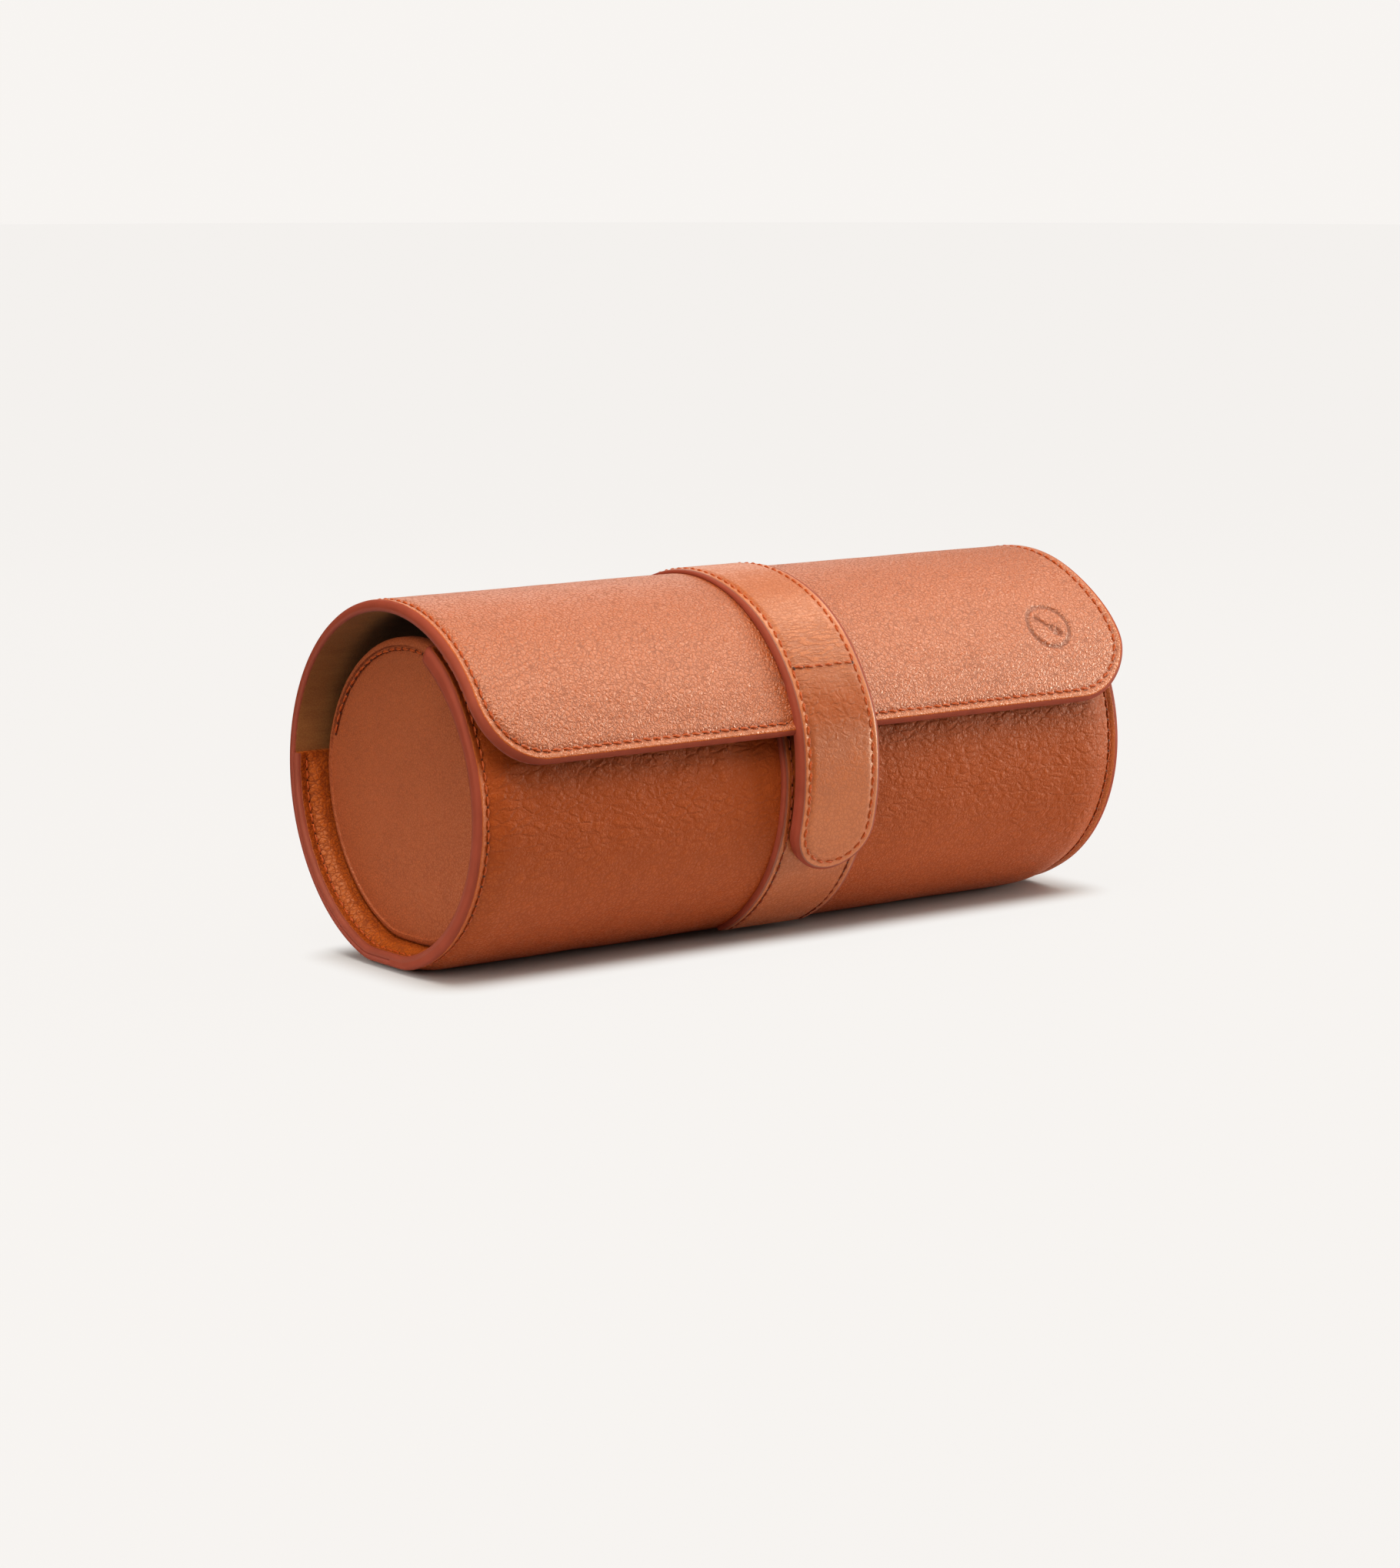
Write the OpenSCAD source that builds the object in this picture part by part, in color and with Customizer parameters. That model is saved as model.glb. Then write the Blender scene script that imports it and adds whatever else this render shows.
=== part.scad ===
// Round wrap-around leather brush case, lying on its side.
// +X runs along the case, -Y is the front, +Z is up. The origin is the middle
// of the flat underside that the case stands on. Sizes are in millimetres.

/* [Case] */
// Length of the case from rim to rim
case_l = 208; // [190:1:230]
// Outer radius of the round back and top
wrap_r = 47; // [45:0.5:49]
// Thickness of the outer leather
leather_t = 3; // [2.8:0.1:3.2]
// Height of the case's axis above the flat strip that it stands on
axis_z = 45.7; // [45.4:0.1:46]

/* [Front wall] */
// Radius of the front wall, which is tucked in behind the flap
front_r = 43.5; // [43:0.1:44]
// Distance of its centre behind the case's axis
front_back = 2.4; // [2:0.1:2.8]
// Distance of its centre below the case's axis
front_drop = 3; // [2.6:0.1:3.4]
// Radius of its straighter upper lip
lip_r = 46.5; // [46:0.5:48]
// Angle at which the lip ends
lip_end_a = 118; // [114:1:124]

/* [Lining] */
// Thickness of the smooth lining leather
lining_t = 1.5; // [1.2:0.1:1.6]
// Thickness of the stiffener board inside the wall
board_t = 1.2; // [0.8:0.1:1.4]
// Angle at which the lining stops on the inside of the back
lining_end_a = 5; // [0:1:8]
// Distance from the rim to the edge of the stiffener board
board_inset = 6; // [5:0.5:7]

/* [End panels] */
// Depth of each end panel behind the rim
end_recess = 8; // [7:0.5:10]
// Radius of the free top edge of an end panel
end_r = 39.6; // [38.6:0.1:39.8]
// Thickness of the end panel's outer cover
cover_t = 1.5; // [1:0.1:2]
// Thickness of the board inside an end panel
end_board_t = 2; // [1.5:0.1:2.5]
// Thickness of the end panel's inner lining
end_lining_t = 1; // [0.8:0.1:1.4]

/* [Flap] */
// Radius of the flap where it comes down over the front
flap_r = 46; // [45.8:0.1:46.2]
// Angle at which the flap's front edge ends
flap_end_a = 168; // [166:1:169]
// Radius of the flap's rounded corners
corner_r = 18; // [14:1:22]
// Thickness of the suede that lines the flap
suede_t = 1; // [0.6:0.1:1.4]
// Angle of the fold line that the flap turns about
hinge_a = 14; // [12:1:16]

/* [Straps] */
// Width of the closing strap
strap_w = 25; // [22:1:27]
// Thickness of the strap where it is sewn to the flap
strap_t = 2.4; // [2.2:0.1:2.6]
// Angle of the rounded end of the strap on the back
strap_start_a = 20; // [18:1:30]
// Angle of the stitch row below which the tab is free
cross_a = 149; // [146:1:152]
// Thickness of the free tab
tab_t = 3.6; // [3.4:0.1:3.8]
// Angle of the tab's tip on the front wall
tab_tip_a = 208; // [204:1:210]
// Radius of the stiff lower part of the tab
tab_r = 70; // [68:1:74]
// Width of the landing strap under the tab
landing_w = 28.5; // [27:0.5:32]
// Thickness of the landing strap
landing_t = 1.5; // [1.2:0.1:1.6]
// Diameter of the hidden closing magnets
magnet_d = 10; // [8:1:12]
// Thickness of the hidden closing magnets
magnet_t = 1.2; // [1:0.1:1.2]

/* [Stitching] */
// Distance of a stitch row from its edge
seam_inset = 3; // [2.5:0.1:4]
// Width of a sewn thread line
thread_w = 0.8; // [0.6:0.1:1]
// Height of a sewn thread line above the leather
thread_h = 0.3; // [0.2:0.05:0.3]

/* [Hidden] */
$fn = 96;
// Further than any point of the section from the case's axis
reach = 2 * wrap_r;
// How far a cutter reaches past the surface that it cuts
cut_over = 1;

half_l = case_l / 2;

// The section is drawn about the case's axis, with Y to the right and Z up.
// The lip and the flap each leave the arc before them at a common tangent, and
// the flat underside lies across the join of the front wall and the back.
axis_c = [0, 0];
front_c = [front_back, -front_drop];
lip_c = front_c + [lip_r - front_r, 0];
flap_c = [0, wrap_r - flap_r];

// Depths below the outer surface of the wall's layers
lining_d = leather_t + lining_t;
puff_d = lining_d + board_t;
board_end_l = half_l - board_inset;
puff_end_l = board_end_l + lining_t;
// The board stops this many degrees short of the lip and of the lining's end
board_margin_a = 7;

// End panels: each layer's distance from the middle of the case
cover_x = half_l - end_recess;
board_x = cover_x - cover_t;
end_lining_x = board_x - end_board_t;
panel_inner_x = end_lining_x - end_lining_t;
panel_c = [2.2, -2.8];
binding_w = 5;
panel_seam_inset = 3.5;
panel_seam_from_a = 20;
panel_seam_to_a = 126;

// Straps: the tab's lower arc runs from its bend at the flap's edge to its tip
bend_a = 166;
tab_gap = 0.9;
// The tab's lining starts this many degrees below the bend
tab_lining_margin_a = 2.9;
// Leather left between the tab's magnet and the tab's inner face
magnet_skin = 0.2;
tab_layer_t = tab_t / 2;
// Clearances between pieces that move apart
body_gap = 0.3;
fold_gap = 0.4;
strap_outer_r = flap_r + strap_t;
tab_from = flap_c + strap_outer_r * dir(bend_a);
tab_tip = front_c + (front_r + landing_t + tab_gap + tab_t) * dir(tab_tip_a);
tab_chord = tab_tip - tab_from;
tab_side = [-tab_chord[1], tab_chord[0]] / norm(tab_chord);
tab_c = (tab_from + tab_tip) / 2 + tab_side * sqrt(pow(tab_r, 2) - pow(norm(tab_chord) / 2, 2));
tab_from_a = angle_of(tab_from - tab_c);
tab_lining_from_a = tab_from_a + tab_lining_margin_a;
tab_to_a = angle_of(tab_tip - tab_c) + arc_a(cut_over, tab_r);
tab_end_z = tab_tip[1] + strap_w / 2;
tab_start_a = cross_a + arc_a(fold_gap, strap_outer_r);
fold_a = hinge_a + arc_a(fold_gap, wrap_r);
top_a = 90;
strap_inset = 2.6;
landing_from_a = 150;
landing_to_a = 248;
magnet_a = 198;
landing_magnet_r = front_r - body_gap - magnet_t;
tab_magnet_r = tab_r - tab_t + magnet_skin;
// Length left out of a stitch row where it meets another piece
seam_gap = 1;

leather_color = [0.78, 0.42, 0.24];
lining_color = [0.66, 0.33, 0.13];
suede_color = [0.42, 0.31, 0.18];
board_color = [0.55, 0.47, 0.36];
strap_color = [0.74, 0.39, 0.18];
thread_color = [0.72, 0.27, 0.08];
magnet_color = [0.75, 0.75, 0.78];

function dir(a) = [cos(a), sin(a)];
function angle_of(v) = (atan2(v[1], v[0]) + 360) % 360;
// Degrees that a length takes up along an arc
function arc_a(length, r) = length / r * 180 / PI;

// The part of the section to one side of a level or an upright line
module right_of(y) { translate([y, -reach]) square([reach, 2 * reach]); }
module left_of(y) { translate([y - reach, -reach]) square([reach, 2 * reach]); }
module above(z) { translate([-reach, z]) square([2 * reach, reach]); }
module below(z) { translate([-reach, z - reach]) square([2 * reach, reach]); }

// The part of the section from angle a0 about centre c0 round to a1 about c1
module swept(c0, a0, c1, a1) {
    steps = 8;
    hub = 20;
    polygon(concat(
        [c0 + hub * dir(a0), c0 + reach * dir(a0)],
        [for (i = [1:steps - 1]) reach * dir(a0 + (a1 - a0) * i / steps)],
        [c1 + reach * dir(a1), c1 + hub * dir(a1)]));
}

// Part of a ring about centre c, between two radii and two angles
module band(c, r_in, r_out, a0, a1) {
    intersection() {
        translate(c) difference() {
            circle(r_out);
            circle(r_in);
        }
        swept(c, a0, c, a1);
    }
}

// Everything inside the trough's wall at depth d below its outer surface
module trough_fill(d) {
    intersection() {
        circle(wrap_r - d);
        right_of(0);
        above(d - axis_z);
    }
    intersection() {
        translate(front_c) circle(front_r - d);
        left_of(0);
        below(front_c[1]);
        above(d - axis_z);
    }
    intersection() {
        translate(lip_c) circle(lip_r - d);
        left_of(0);
        above(front_c[1]);
    }
}

// Section of a layer of the trough, between two depths below its outside.
// It runs from angle from_a on the lip, down the front and round the bottom
// to angle to_a about the case's axis.
module trough_layer(d_out, d_in, from_a, to_a) {
    difference() {
        trough_fill(d_out);
        trough_fill(d_in);
        swept(axis_c, to_a, lip_c, from_a);
    }
}

// Section of a layer that lies on the front wall under the tab
module landing_layer(d_out, d_in) {
    difference() {
        trough_fill(d_out);
        trough_fill(d_in);
        swept(front_c, landing_to_a, lip_c, 360 + landing_from_a);
    }
}

// Section of a layer of the flap, between two depths below its outside
module flap_layer(d_out, d_in, from_a, to_a) {
    difference() {
        flap_fill(d_out);
        flap_fill(d_in);
        swept(flap_c, to_a, axis_c, 360 + from_a);
    }
}

module flap_fill(d) {
    intersection() {
        circle(wrap_r - d);
        right_of(0);
    }
    intersection() {
        translate(flap_c) circle(flap_r - d);
        left_of(0);
    }
}

// Section of a layer of the stiff lower part of the tab
module tab_layer(d_out, d_in, from_a) {
    band(tab_c, tab_r - d_in, tab_r - d_out, from_a, tab_to_a);
}

// Everything inside the trough's inner face, cut off by the panel's top arc
module panel_outline() {
    intersection() {
        trough_fill(puff_d);
        translate(panel_c) circle(end_r);
    }
}

// The board inside an end panel, inset from the panel's edge
module board_outline() {
    translate(panel_c) circle(end_r - binding_w);
}

// Extrudes a section along X, from x0 to x1
module along_x(x0, x1) {
    translate([x0, 0, axis_z]) rotate([90, 0, 90]) linear_extrude(x1 - x0) children();
}

// Extrudes a front view, drawn in X and Z, through the front half of the case
module through_front() {
    translate([0, 0, axis_z]) rotate([90, 0, 0]) linear_extrude(2 * wrap_r) children();
}

// Extrudes a front view through the back half of the case
module through_back() {
    translate([0, 2 * wrap_r, 0]) through_front() children();
}

// A disc that faces outwards at angle a about centre c of the section
module facing_disc(c, a, r_in, r_out, d) {
    translate([0, c[0], axis_z + c[1]]) rotate([a - 90, 0, 0])
        translate([0, 0, r_in]) cylinder(d = d, h = r_out - r_in);
}

// The space under the surface that the case stands on
module below_ground() {
    translate([-case_l, -2 * wrap_r, -2 * wrap_r]) cube([2 * case_l, 4 * wrap_r, 2 * wrap_r]);
}

// Mirrored for the right-hand end
module at_end(side) {
    if (side == "left") children();
    else mirror([1, 0, 0]) children();
}

// Front view of a tongue, w wide, with its round end centred at height z
module tongue(w, z) {
    translate([0, z]) circle(d = w);
    translate([-w / 2, z]) square([w, 3 * wrap_r]);
}

// Front view of the flap's edge, inset by d: two sides and two round corners
module flap_front(d) {
    low = flap_c[1] + flap_r * sin(flap_end_a) + d;
    r = corner_r - d;
    w = half_l - d;
    for (s = [-1, 1]) translate([s * (w - r), low + r]) circle(r);
    translate([-w, low + r]) square([2 * w, 3 * wrap_r]);
    translate([r - w, low]) square([2 * (w - r), 2 * r]);
}

// ---- The case's own pieces ----

module outer_wrap() {
    color(leather_color) difference() {
        along_x(-half_l, half_l) trough_layer(0, leather_t, lip_end_a, hinge_a);
        facing_disc(front_c, magnet_a, landing_magnet_r, front_r + cut_over, magnet_d);
    }
}

module board_shape(half_w) {
    along_x(-half_w, half_w) trough_layer(leather_t, leather_t + board_t,
                                          lip_end_a + board_margin_a, lining_end_a - board_margin_a);
}

module wrap_board() {
    color(board_color) board_shape(board_end_l);
}

// The lining steps inwards where it passes over the stiffener board
module wrap_lining() {
    over_a = board_margin_a - arc_a(lining_t, wrap_r);
    color(lining_color) difference() {
        union() {
            along_x(-half_l, half_l) trough_layer(leather_t, lining_d, lip_end_a, lining_end_a);
            along_x(-puff_end_l, puff_end_l)
                trough_layer(leather_t, puff_d, lip_end_a + over_a, lining_end_a - over_a);
        }
        board_shape(board_end_l);
    }
}

module end_cover(side) {
    color(leather_color) at_end(side) along_x(-cover_x, -board_x) panel_outline();
}

module end_board(side) {
    color(board_color) at_end(side) along_x(-board_x, -end_lining_x) board_outline();
}

// The turned-in edge between the cover and the lining, round the board
module end_binding(side) {
    color(leather_color) at_end(side) along_x(-board_x, -end_lining_x) difference() {
        panel_outline();
        board_outline();
    }
}

module end_lining(side) {
    color(lining_color) at_end(side) along_x(-end_lining_x, -panel_inner_x) panel_outline();
}

module landing_strap() {
    color(strap_color) along_x(-landing_w / 2, landing_w / 2) landing_layer(-landing_t, 0);
}

module landing_magnet() {
    color(magnet_color)
        facing_disc(front_c, magnet_a, landing_magnet_r, landing_magnet_r + magnet_t, magnet_d);
}

// ---- The sewn threads of the case ----

module rim_stitching(side) {
    seam_x = half_l - seam_inset;
    from_a = lip_end_a + arc_a(seam_inset, lip_r);
    to_a = hinge_a - arc_a(seam_gap, wrap_r);
    color(thread_color) at_end(side) difference() {
        along_x(-seam_x - thread_w / 2, -seam_x + thread_w / 2) trough_layer(-thread_h, 0, from_a, to_a);
        below_ground();
    }
}

module lip_stitching() {
    seam_x = half_l - seam_inset - thread_w;
    seam_a = lip_end_a + arc_a(seam_inset, lip_r);
    color(thread_color) along_x(-seam_x, seam_x)
        band(lip_c, lip_r, lip_r + thread_h, seam_a, seam_a + arc_a(thread_w, lip_r));
}

module end_stitching(side) {
    seam_r = end_r - panel_seam_inset;
    color(thread_color) at_end(side) along_x(-cover_x - thread_h, -cover_x)
        band(panel_c, seam_r - thread_w / 2, seam_r + thread_w / 2, panel_seam_from_a, panel_seam_to_a);
}

module landing_stitching() {
    seam_x = landing_w / 2 - strap_inset;
    color(thread_color) for (s = [-1, 1])
        along_x(s * seam_x - thread_w / 2, s * seam_x + thread_w / 2)
            landing_layer(-landing_t - thread_h, -landing_t);
}

// ---- The flap's pieces ----

// Cuts a piece of the flap to its rounded outline over the front
module cut_to_flap() {
    intersection() {
        children();
        union() {
            through_front() flap_front(0);
            through_back() translate([-half_l, -wrap_r]) square([case_l, 3 * wrap_r]);
        }
    }
}

module flap_leather() {
    color(leather_color) cut_to_flap()
        along_x(-half_l, half_l) flap_layer(0, leather_t - suede_t, fold_a, flap_end_a);
}

module flap_suede() {
    color(suede_color) cut_to_flap()
        along_x(-half_l, half_l) flap_layer(leather_t - suede_t, leather_t, fold_a, flap_end_a);
}

module flap_strap() {
    start_z = wrap_r * sin(strap_start_a) + strap_w / 2;
    color(strap_color) intersection() {
        along_x(-strap_w / 2, strap_w / 2) flap_layer(-strap_t, 0, strap_start_a, cross_a);
        union() {
            through_back() tongue(strap_w, start_z);
            through_front() translate([-strap_w / 2, 0]) square([strap_w, 2 * wrap_r]);
        }
    }
}

module flap_stitching() {
    color(thread_color) {
        // Over the back and top, one line near each end
        for (s = [-1, 1]) {
            seam_x = s * (half_l - seam_inset);
            along_x(seam_x - thread_w / 2, seam_x + thread_w / 2)
                band(axis_c, wrap_r, wrap_r + thread_h, fold_a + arc_a(seam_gap, wrap_r), top_a);
        }
        // Down the front, round the corners and along the edge beside the strap
        intersection() {
            along_x(-half_l, half_l) band(flap_c, flap_r, flap_r + thread_h, top_a, flap_end_a);
            through_front() difference() {
                flap_front(seam_inset - thread_w / 2);
                flap_front(seam_inset + thread_w / 2);
                translate([-strap_w / 2 - seam_gap, 0]) square([strap_w + 2 * seam_gap, wrap_r / 2]);
            }
        }
    }
}

module strap_stitching() {
    start_z = wrap_r * sin(strap_start_a) + strap_w / 2;
    line_w = strap_w - 2 * strap_inset;
    color(thread_color) intersection() {
        along_x(-strap_w / 2, strap_w / 2)
            flap_layer(-strap_t - thread_h, -strap_t, strap_start_a, cross_a - arc_a(seam_gap, flap_r));
        union() {
            through_back() difference() {
                tongue(line_w + thread_w, start_z);
                tongue(line_w - thread_w, start_z);
            }
            through_front() for (s = [-1, 1])
                translate([s * line_w / 2 - thread_w / 2, 0]) square([thread_w, 2 * wrap_r]);
        }
    }
}

module cross_stitching() {
    to_a = cross_a - arc_a(seam_gap, flap_r);
    half_w = strap_w / 2 - strap_inset - thread_w;
    color(thread_color) along_x(-half_w, half_w)
        band(flap_c, strap_outer_r, strap_outer_r + thread_h, to_a - arc_a(thread_w, flap_r), to_a);
}

// ---- The tab's pieces ----

// The outer layer lies on the flap, then carries on down as the stiff tab
module tab_outer_section() {
    band(flap_c, flap_r + body_gap, strap_outer_r, tab_start_a, bend_a);
    tab_layer(0, tab_layer_t, tab_from_a);
}

module tab_leather() {
    color(strap_color) intersection() {
        along_x(-strap_w / 2, strap_w / 2) tab_outer_section();
        through_front() tongue(strap_w, tab_end_z);
    }
}

module tab_lining() {
    color(lining_color) difference() {
        intersection() {
            along_x(-strap_w / 2, strap_w / 2) tab_layer(tab_layer_t, tab_t, tab_lining_from_a);
            through_front() tongue(strap_w, tab_end_z);
        }
        facing_disc(tab_c, magnet_a, tab_magnet_r, tab_r, magnet_d);
    }
}

module tab_magnet() {
    color(magnet_color)
        facing_disc(tab_c, magnet_a, tab_magnet_r, tab_magnet_r + magnet_t, magnet_d);
}

module tab_stitching() {
    line_w = strap_w - 2 * strap_inset;
    color(thread_color) intersection() {
        along_x(-strap_w / 2, strap_w / 2) {
            band(flap_c, strap_outer_r, strap_outer_r + thread_h,
                 cross_a + arc_a(seam_gap, flap_r), bend_a - arc_a(seam_gap, flap_r));
            tab_layer(-thread_h, 0, tab_from_a + arc_a(seam_gap, tab_r));
        }
        through_front() difference() {
            tongue(line_w + thread_w, tab_end_z);
            tongue(line_w - thread_w, tab_end_z);
        }
    }
}

outer_wrap();
wrap_board();
wrap_lining();
end_cover("left");  // left_end_cover
end_board("left");  // left_end_board
end_binding("left");  // left_end_binding
end_lining("left");  // left_end_lining
end_cover("right");  // right_end_cover
end_board("right");  // right_end_board
end_binding("right");  // right_end_binding
end_lining("right");  // right_end_lining
landing_strap();
landing_magnet();
rim_stitching("left");  // left_rim_stitching
rim_stitching("right");  // right_rim_stitching
lip_stitching();
end_stitching("left");  // left_end_stitching
end_stitching("right");  // right_end_stitching
landing_stitching();
flap_leather();
flap_suede();
flap_strap();
flap_stitching();
strap_stitching();
cross_stitching();
tab_leather();
tab_lining();
tab_magnet();
tab_stitching();
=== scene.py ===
"""Looks of the round leather brush case: sheets, linings, straps, seams, floor, light and camera."""
import math

import bpy
import numpy as np
from mathutils import Matrix, Vector


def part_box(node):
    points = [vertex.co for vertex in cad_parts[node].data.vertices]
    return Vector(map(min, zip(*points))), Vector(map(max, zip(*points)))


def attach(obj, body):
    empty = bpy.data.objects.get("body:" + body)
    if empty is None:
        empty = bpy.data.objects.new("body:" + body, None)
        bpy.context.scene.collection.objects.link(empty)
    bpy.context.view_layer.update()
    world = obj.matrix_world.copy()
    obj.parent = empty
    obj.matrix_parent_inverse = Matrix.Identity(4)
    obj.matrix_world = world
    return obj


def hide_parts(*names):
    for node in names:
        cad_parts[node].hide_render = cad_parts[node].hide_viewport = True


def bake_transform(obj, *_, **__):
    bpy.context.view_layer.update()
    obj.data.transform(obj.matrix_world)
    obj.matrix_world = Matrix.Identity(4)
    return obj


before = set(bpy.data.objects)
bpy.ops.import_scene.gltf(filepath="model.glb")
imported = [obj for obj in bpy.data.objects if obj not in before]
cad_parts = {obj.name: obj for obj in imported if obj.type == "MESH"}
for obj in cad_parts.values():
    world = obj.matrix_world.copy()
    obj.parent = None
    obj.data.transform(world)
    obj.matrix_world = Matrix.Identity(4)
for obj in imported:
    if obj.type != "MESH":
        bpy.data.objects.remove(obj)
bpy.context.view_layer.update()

# ---------------------------------------------------------------- sizes, in millimetres
# The section is drawn about the case's axis, Y towards the back and Z up. What the frame's boxes
# don't say repeats the CAD model's own sizes.
MM = 0.001
HALF_L = round(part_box("outer_wrap")[1].x / MM, 1)
WRAP_R = round(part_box("outer_wrap")[1].y / MM, 1)
AXIS_Z = round(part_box("flap_leather")[1].z / MM - WRAP_R, 1)
FRONT_C, FRONT_R = (2.4, -3.0), 43.5
LIP_C, LIP_R, LIP_A = (5.4, -3.0), 46.5, 118.0
FLAP_C, FLAP_R, FLAP_A = (0.0, 1.0), 46.0, 168.0
LEATHER_T, LINING_T, BOARD_T, SUEDE_T = 3.0, 1.5, 1.2, 1.0
PUFF_D = LEATHER_T + LINING_T + BOARD_T
STRAP_HALF = round(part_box("flap_strap")[1].x / MM, 2)
STRAP_T, TAB_T = 2.4, 3.6
LANDING_HALF, LANDING_T = round(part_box("landing_strap")[1].x / MM, 2), 1.5
CORNER_R = 18.0
LINING_END_A = 5.0
PANEL_C, PANEL_R = (2.2, -2.8), 39.6
PANEL_X = -round(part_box("left_end_cover")[0].x / MM, 2)
PANEL_T = 4.5
PANEL_SEAM_R = PANEL_R - 2.9
SEAM = 3.2
STRAP_SEAM = 2.6
PITCH = 3.0


# ---------------------------------------------------------------- small numeric helpers
def smooth(lo, hi, v):
    t = np.clip((v - lo) / (hi - lo), 0, 1)
    return t * t * (3 - 2 * t)


def bump(v, centre, width):
    return np.exp(-((v - centre) / width) ** 2)


# ---------------------------------------------------------------- section paths
def arc(c, r, a0, a1, step=0.25):
    """Points along an arc, angles in degrees."""
    n = max(2, int(abs(math.radians(a1 - a0)) * r / step))
    a = np.radians(np.linspace(a0, a1, n))
    return np.stack([c[0] + r * np.cos(a), c[1] + r * np.sin(a)], 1)


NEAR_DEG, NEAR_MM = 1.5, 60


class Path:
    """A smooth curve in the section with its arc length and outward normals."""

    def __init__(self, parts, smooth=1.5, step=0.25):
        pts = np.concatenate(parts)
        keep = np.r_[True, np.linalg.norm(np.diff(pts, axis=0), axis=1) > 1e-4]
        pts = pts[keep]
        s = np.r_[0, np.cumsum(np.linalg.norm(np.diff(pts, axis=0), axis=1))]
        n = int(s[-1] / step)
        u = np.linspace(0, s[-1], n)
        pts = np.stack([np.interp(u, s, pts[:, k]) for k in (0, 1)], 1)
        pad = int(4 * smooth / step)
        lead = pts[0] + (pts[0] - pts[1]) * np.arange(pad, 0, -1)[:, None]
        tail = pts[-1] + (pts[-1] - pts[-2]) * np.arange(1, pad + 1)[:, None]
        ext = np.concatenate([lead, pts, tail])
        k = np.exp(-0.5 * (np.arange(-pad, pad + 1) * step / smooth) ** 2)
        k /= k.sum()
        sm = np.stack([np.convolve(ext[:, i], k, "same") for i in (0, 1)], 1)
        self.s = (np.arange(len(ext)) - pad) * u[1]
        self.p = sm
        t = np.gradient(sm, axis=0)
        t /= np.linalg.norm(t, axis=1)[:, None]
        self.n = np.stack([t[:, 1], -t[:, 0]], 1)
        self.length = u[-1]
        self.slide = None

    def place(self, x, s, height):
        """World points, in metres, at that height above the curve."""
        if self.slide:
            x = self.slide(x, s)
        y = np.interp(s, self.s, self.p[:, 0]) + height * np.interp(s, self.s, self.n[:, 0])
        z = np.interp(s, self.s, self.p[:, 1]) + height * np.interp(s, self.s, self.n[:, 1])
        return np.stack([x, y, z + AXIS_Z], -1) * MM

    def s_at(self, c, angle, near=None):
        """Arc length where the curve passes direction angle about c, nearest to near if given."""
        d = self.p - np.array(c)
        off = (np.degrees(np.arctan2(d[:, 1], d[:, 0])) - angle + 180) % 360 - 180
        ok = np.where(np.abs(off) < NEAR_DEG)[0]
        if near is not None:
            ok = ok[np.abs(self.s[ok] - near) < NEAR_MM]
        return self.s[ok[np.argmin(np.abs(off[ok]))]]


FLAT_Z = -AXIS_Z
front_flat_a = 180 + math.degrees(math.asin((-FLAT_Z + FRONT_C[1]) / FRONT_R))
back_flat_a = -90 + math.degrees(math.acos(-FLAT_Z / WRAP_R))
lip_arc = arc(LIP_C, LIP_R, LIP_A, 180)
front_arc = arc(FRONT_C, FRONT_R, 180, front_flat_a)
back_arc = arc((0, 0), WRAP_R, back_flat_a, 90)
flap_arc = arc(FLAP_C, FLAP_R, 90, FLAP_A)
OUTER = Path([lip_arc, front_arc, back_arc, flap_arc])
S_BOTTOM = OUTER.s_at((0, 0), -90, 116)
S_LINING_END = OUTER.s_at((0, 0), LINING_END_A, 195)
S_TOP = OUTER.s_at((0, 0), 89.9, 264)
S_END = OUTER.length

strap_r = FLAP_R + STRAP_T
bend = np.array(FLAP_C) + strap_r * np.array([math.cos(math.radians(166)), math.sin(math.radians(166))])
TAB_C, TAB_R = (22.35, 2.90), 70.0
tab_from_a = math.degrees(math.atan2(bend[1] - TAB_C[1], bend[0] - TAB_C[0]))
TAB_TO_A = 204.6
STRAP = Path([arc((0, 0), WRAP_R + STRAP_T, 20, 90), arc(FLAP_C, strap_r, 90, 166),
              arc(TAB_C, TAB_R, tab_from_a, TAB_TO_A)], smooth=2.2)

# The strap was sewn a little askew: it drifts to the right on its way down. The flap's right corner
# has sprung out past the end of the case.
STRAP.slide = lambda x, s: x * (1 + 0.025 * smooth(110, 130, s)) + 0.4 + 1.65 * smooth(90, 150, s)
OUTER.slide = lambda x, s: x + 1.5 * smooth(70, 104, x) * bump(s, S_END - 20, 13)
LANDING_X = 1.35


# ---------------------------------------------------------------- noise and grids
FAR = 1e3
UV_SCALE = 0.01
FINE_STEP, FINE_BAND = 0.45, 6.0
MIN_FLANK, MIN_ROUND = 0.4, 0.05
# The materials read how far the cut edge is: its flank is below zero, and where a sheet runs on
# into another one there is no edge near.
FLANK_RIM, NO_RIM = -0.5, 5.0


def value_noise(x, y, seed=0.0):
    """Smooth noise from -1 to 1 on a unit lattice, the same on every run."""
    xi, yi = np.floor(x), np.floor(y)
    fx, fy = x - xi, y - yi
    fx, fy = fx * fx * (3 - 2 * fx), fy * fy * (3 - 2 * fy)

    def lattice(a, b):
        h = np.sin(a * 127.1 + b * 311.7 + seed * 74.7) * 43758.5453
        return 2 * (h - np.floor(h)) - 1

    top = lattice(xi, yi) * (1 - fx) + lattice(xi + 1, yi) * fx
    low = lattice(xi, yi + 1) * (1 - fx) + lattice(xi + 1, yi + 1) * fx
    return top * (1 - fy) + low * fy


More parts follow.
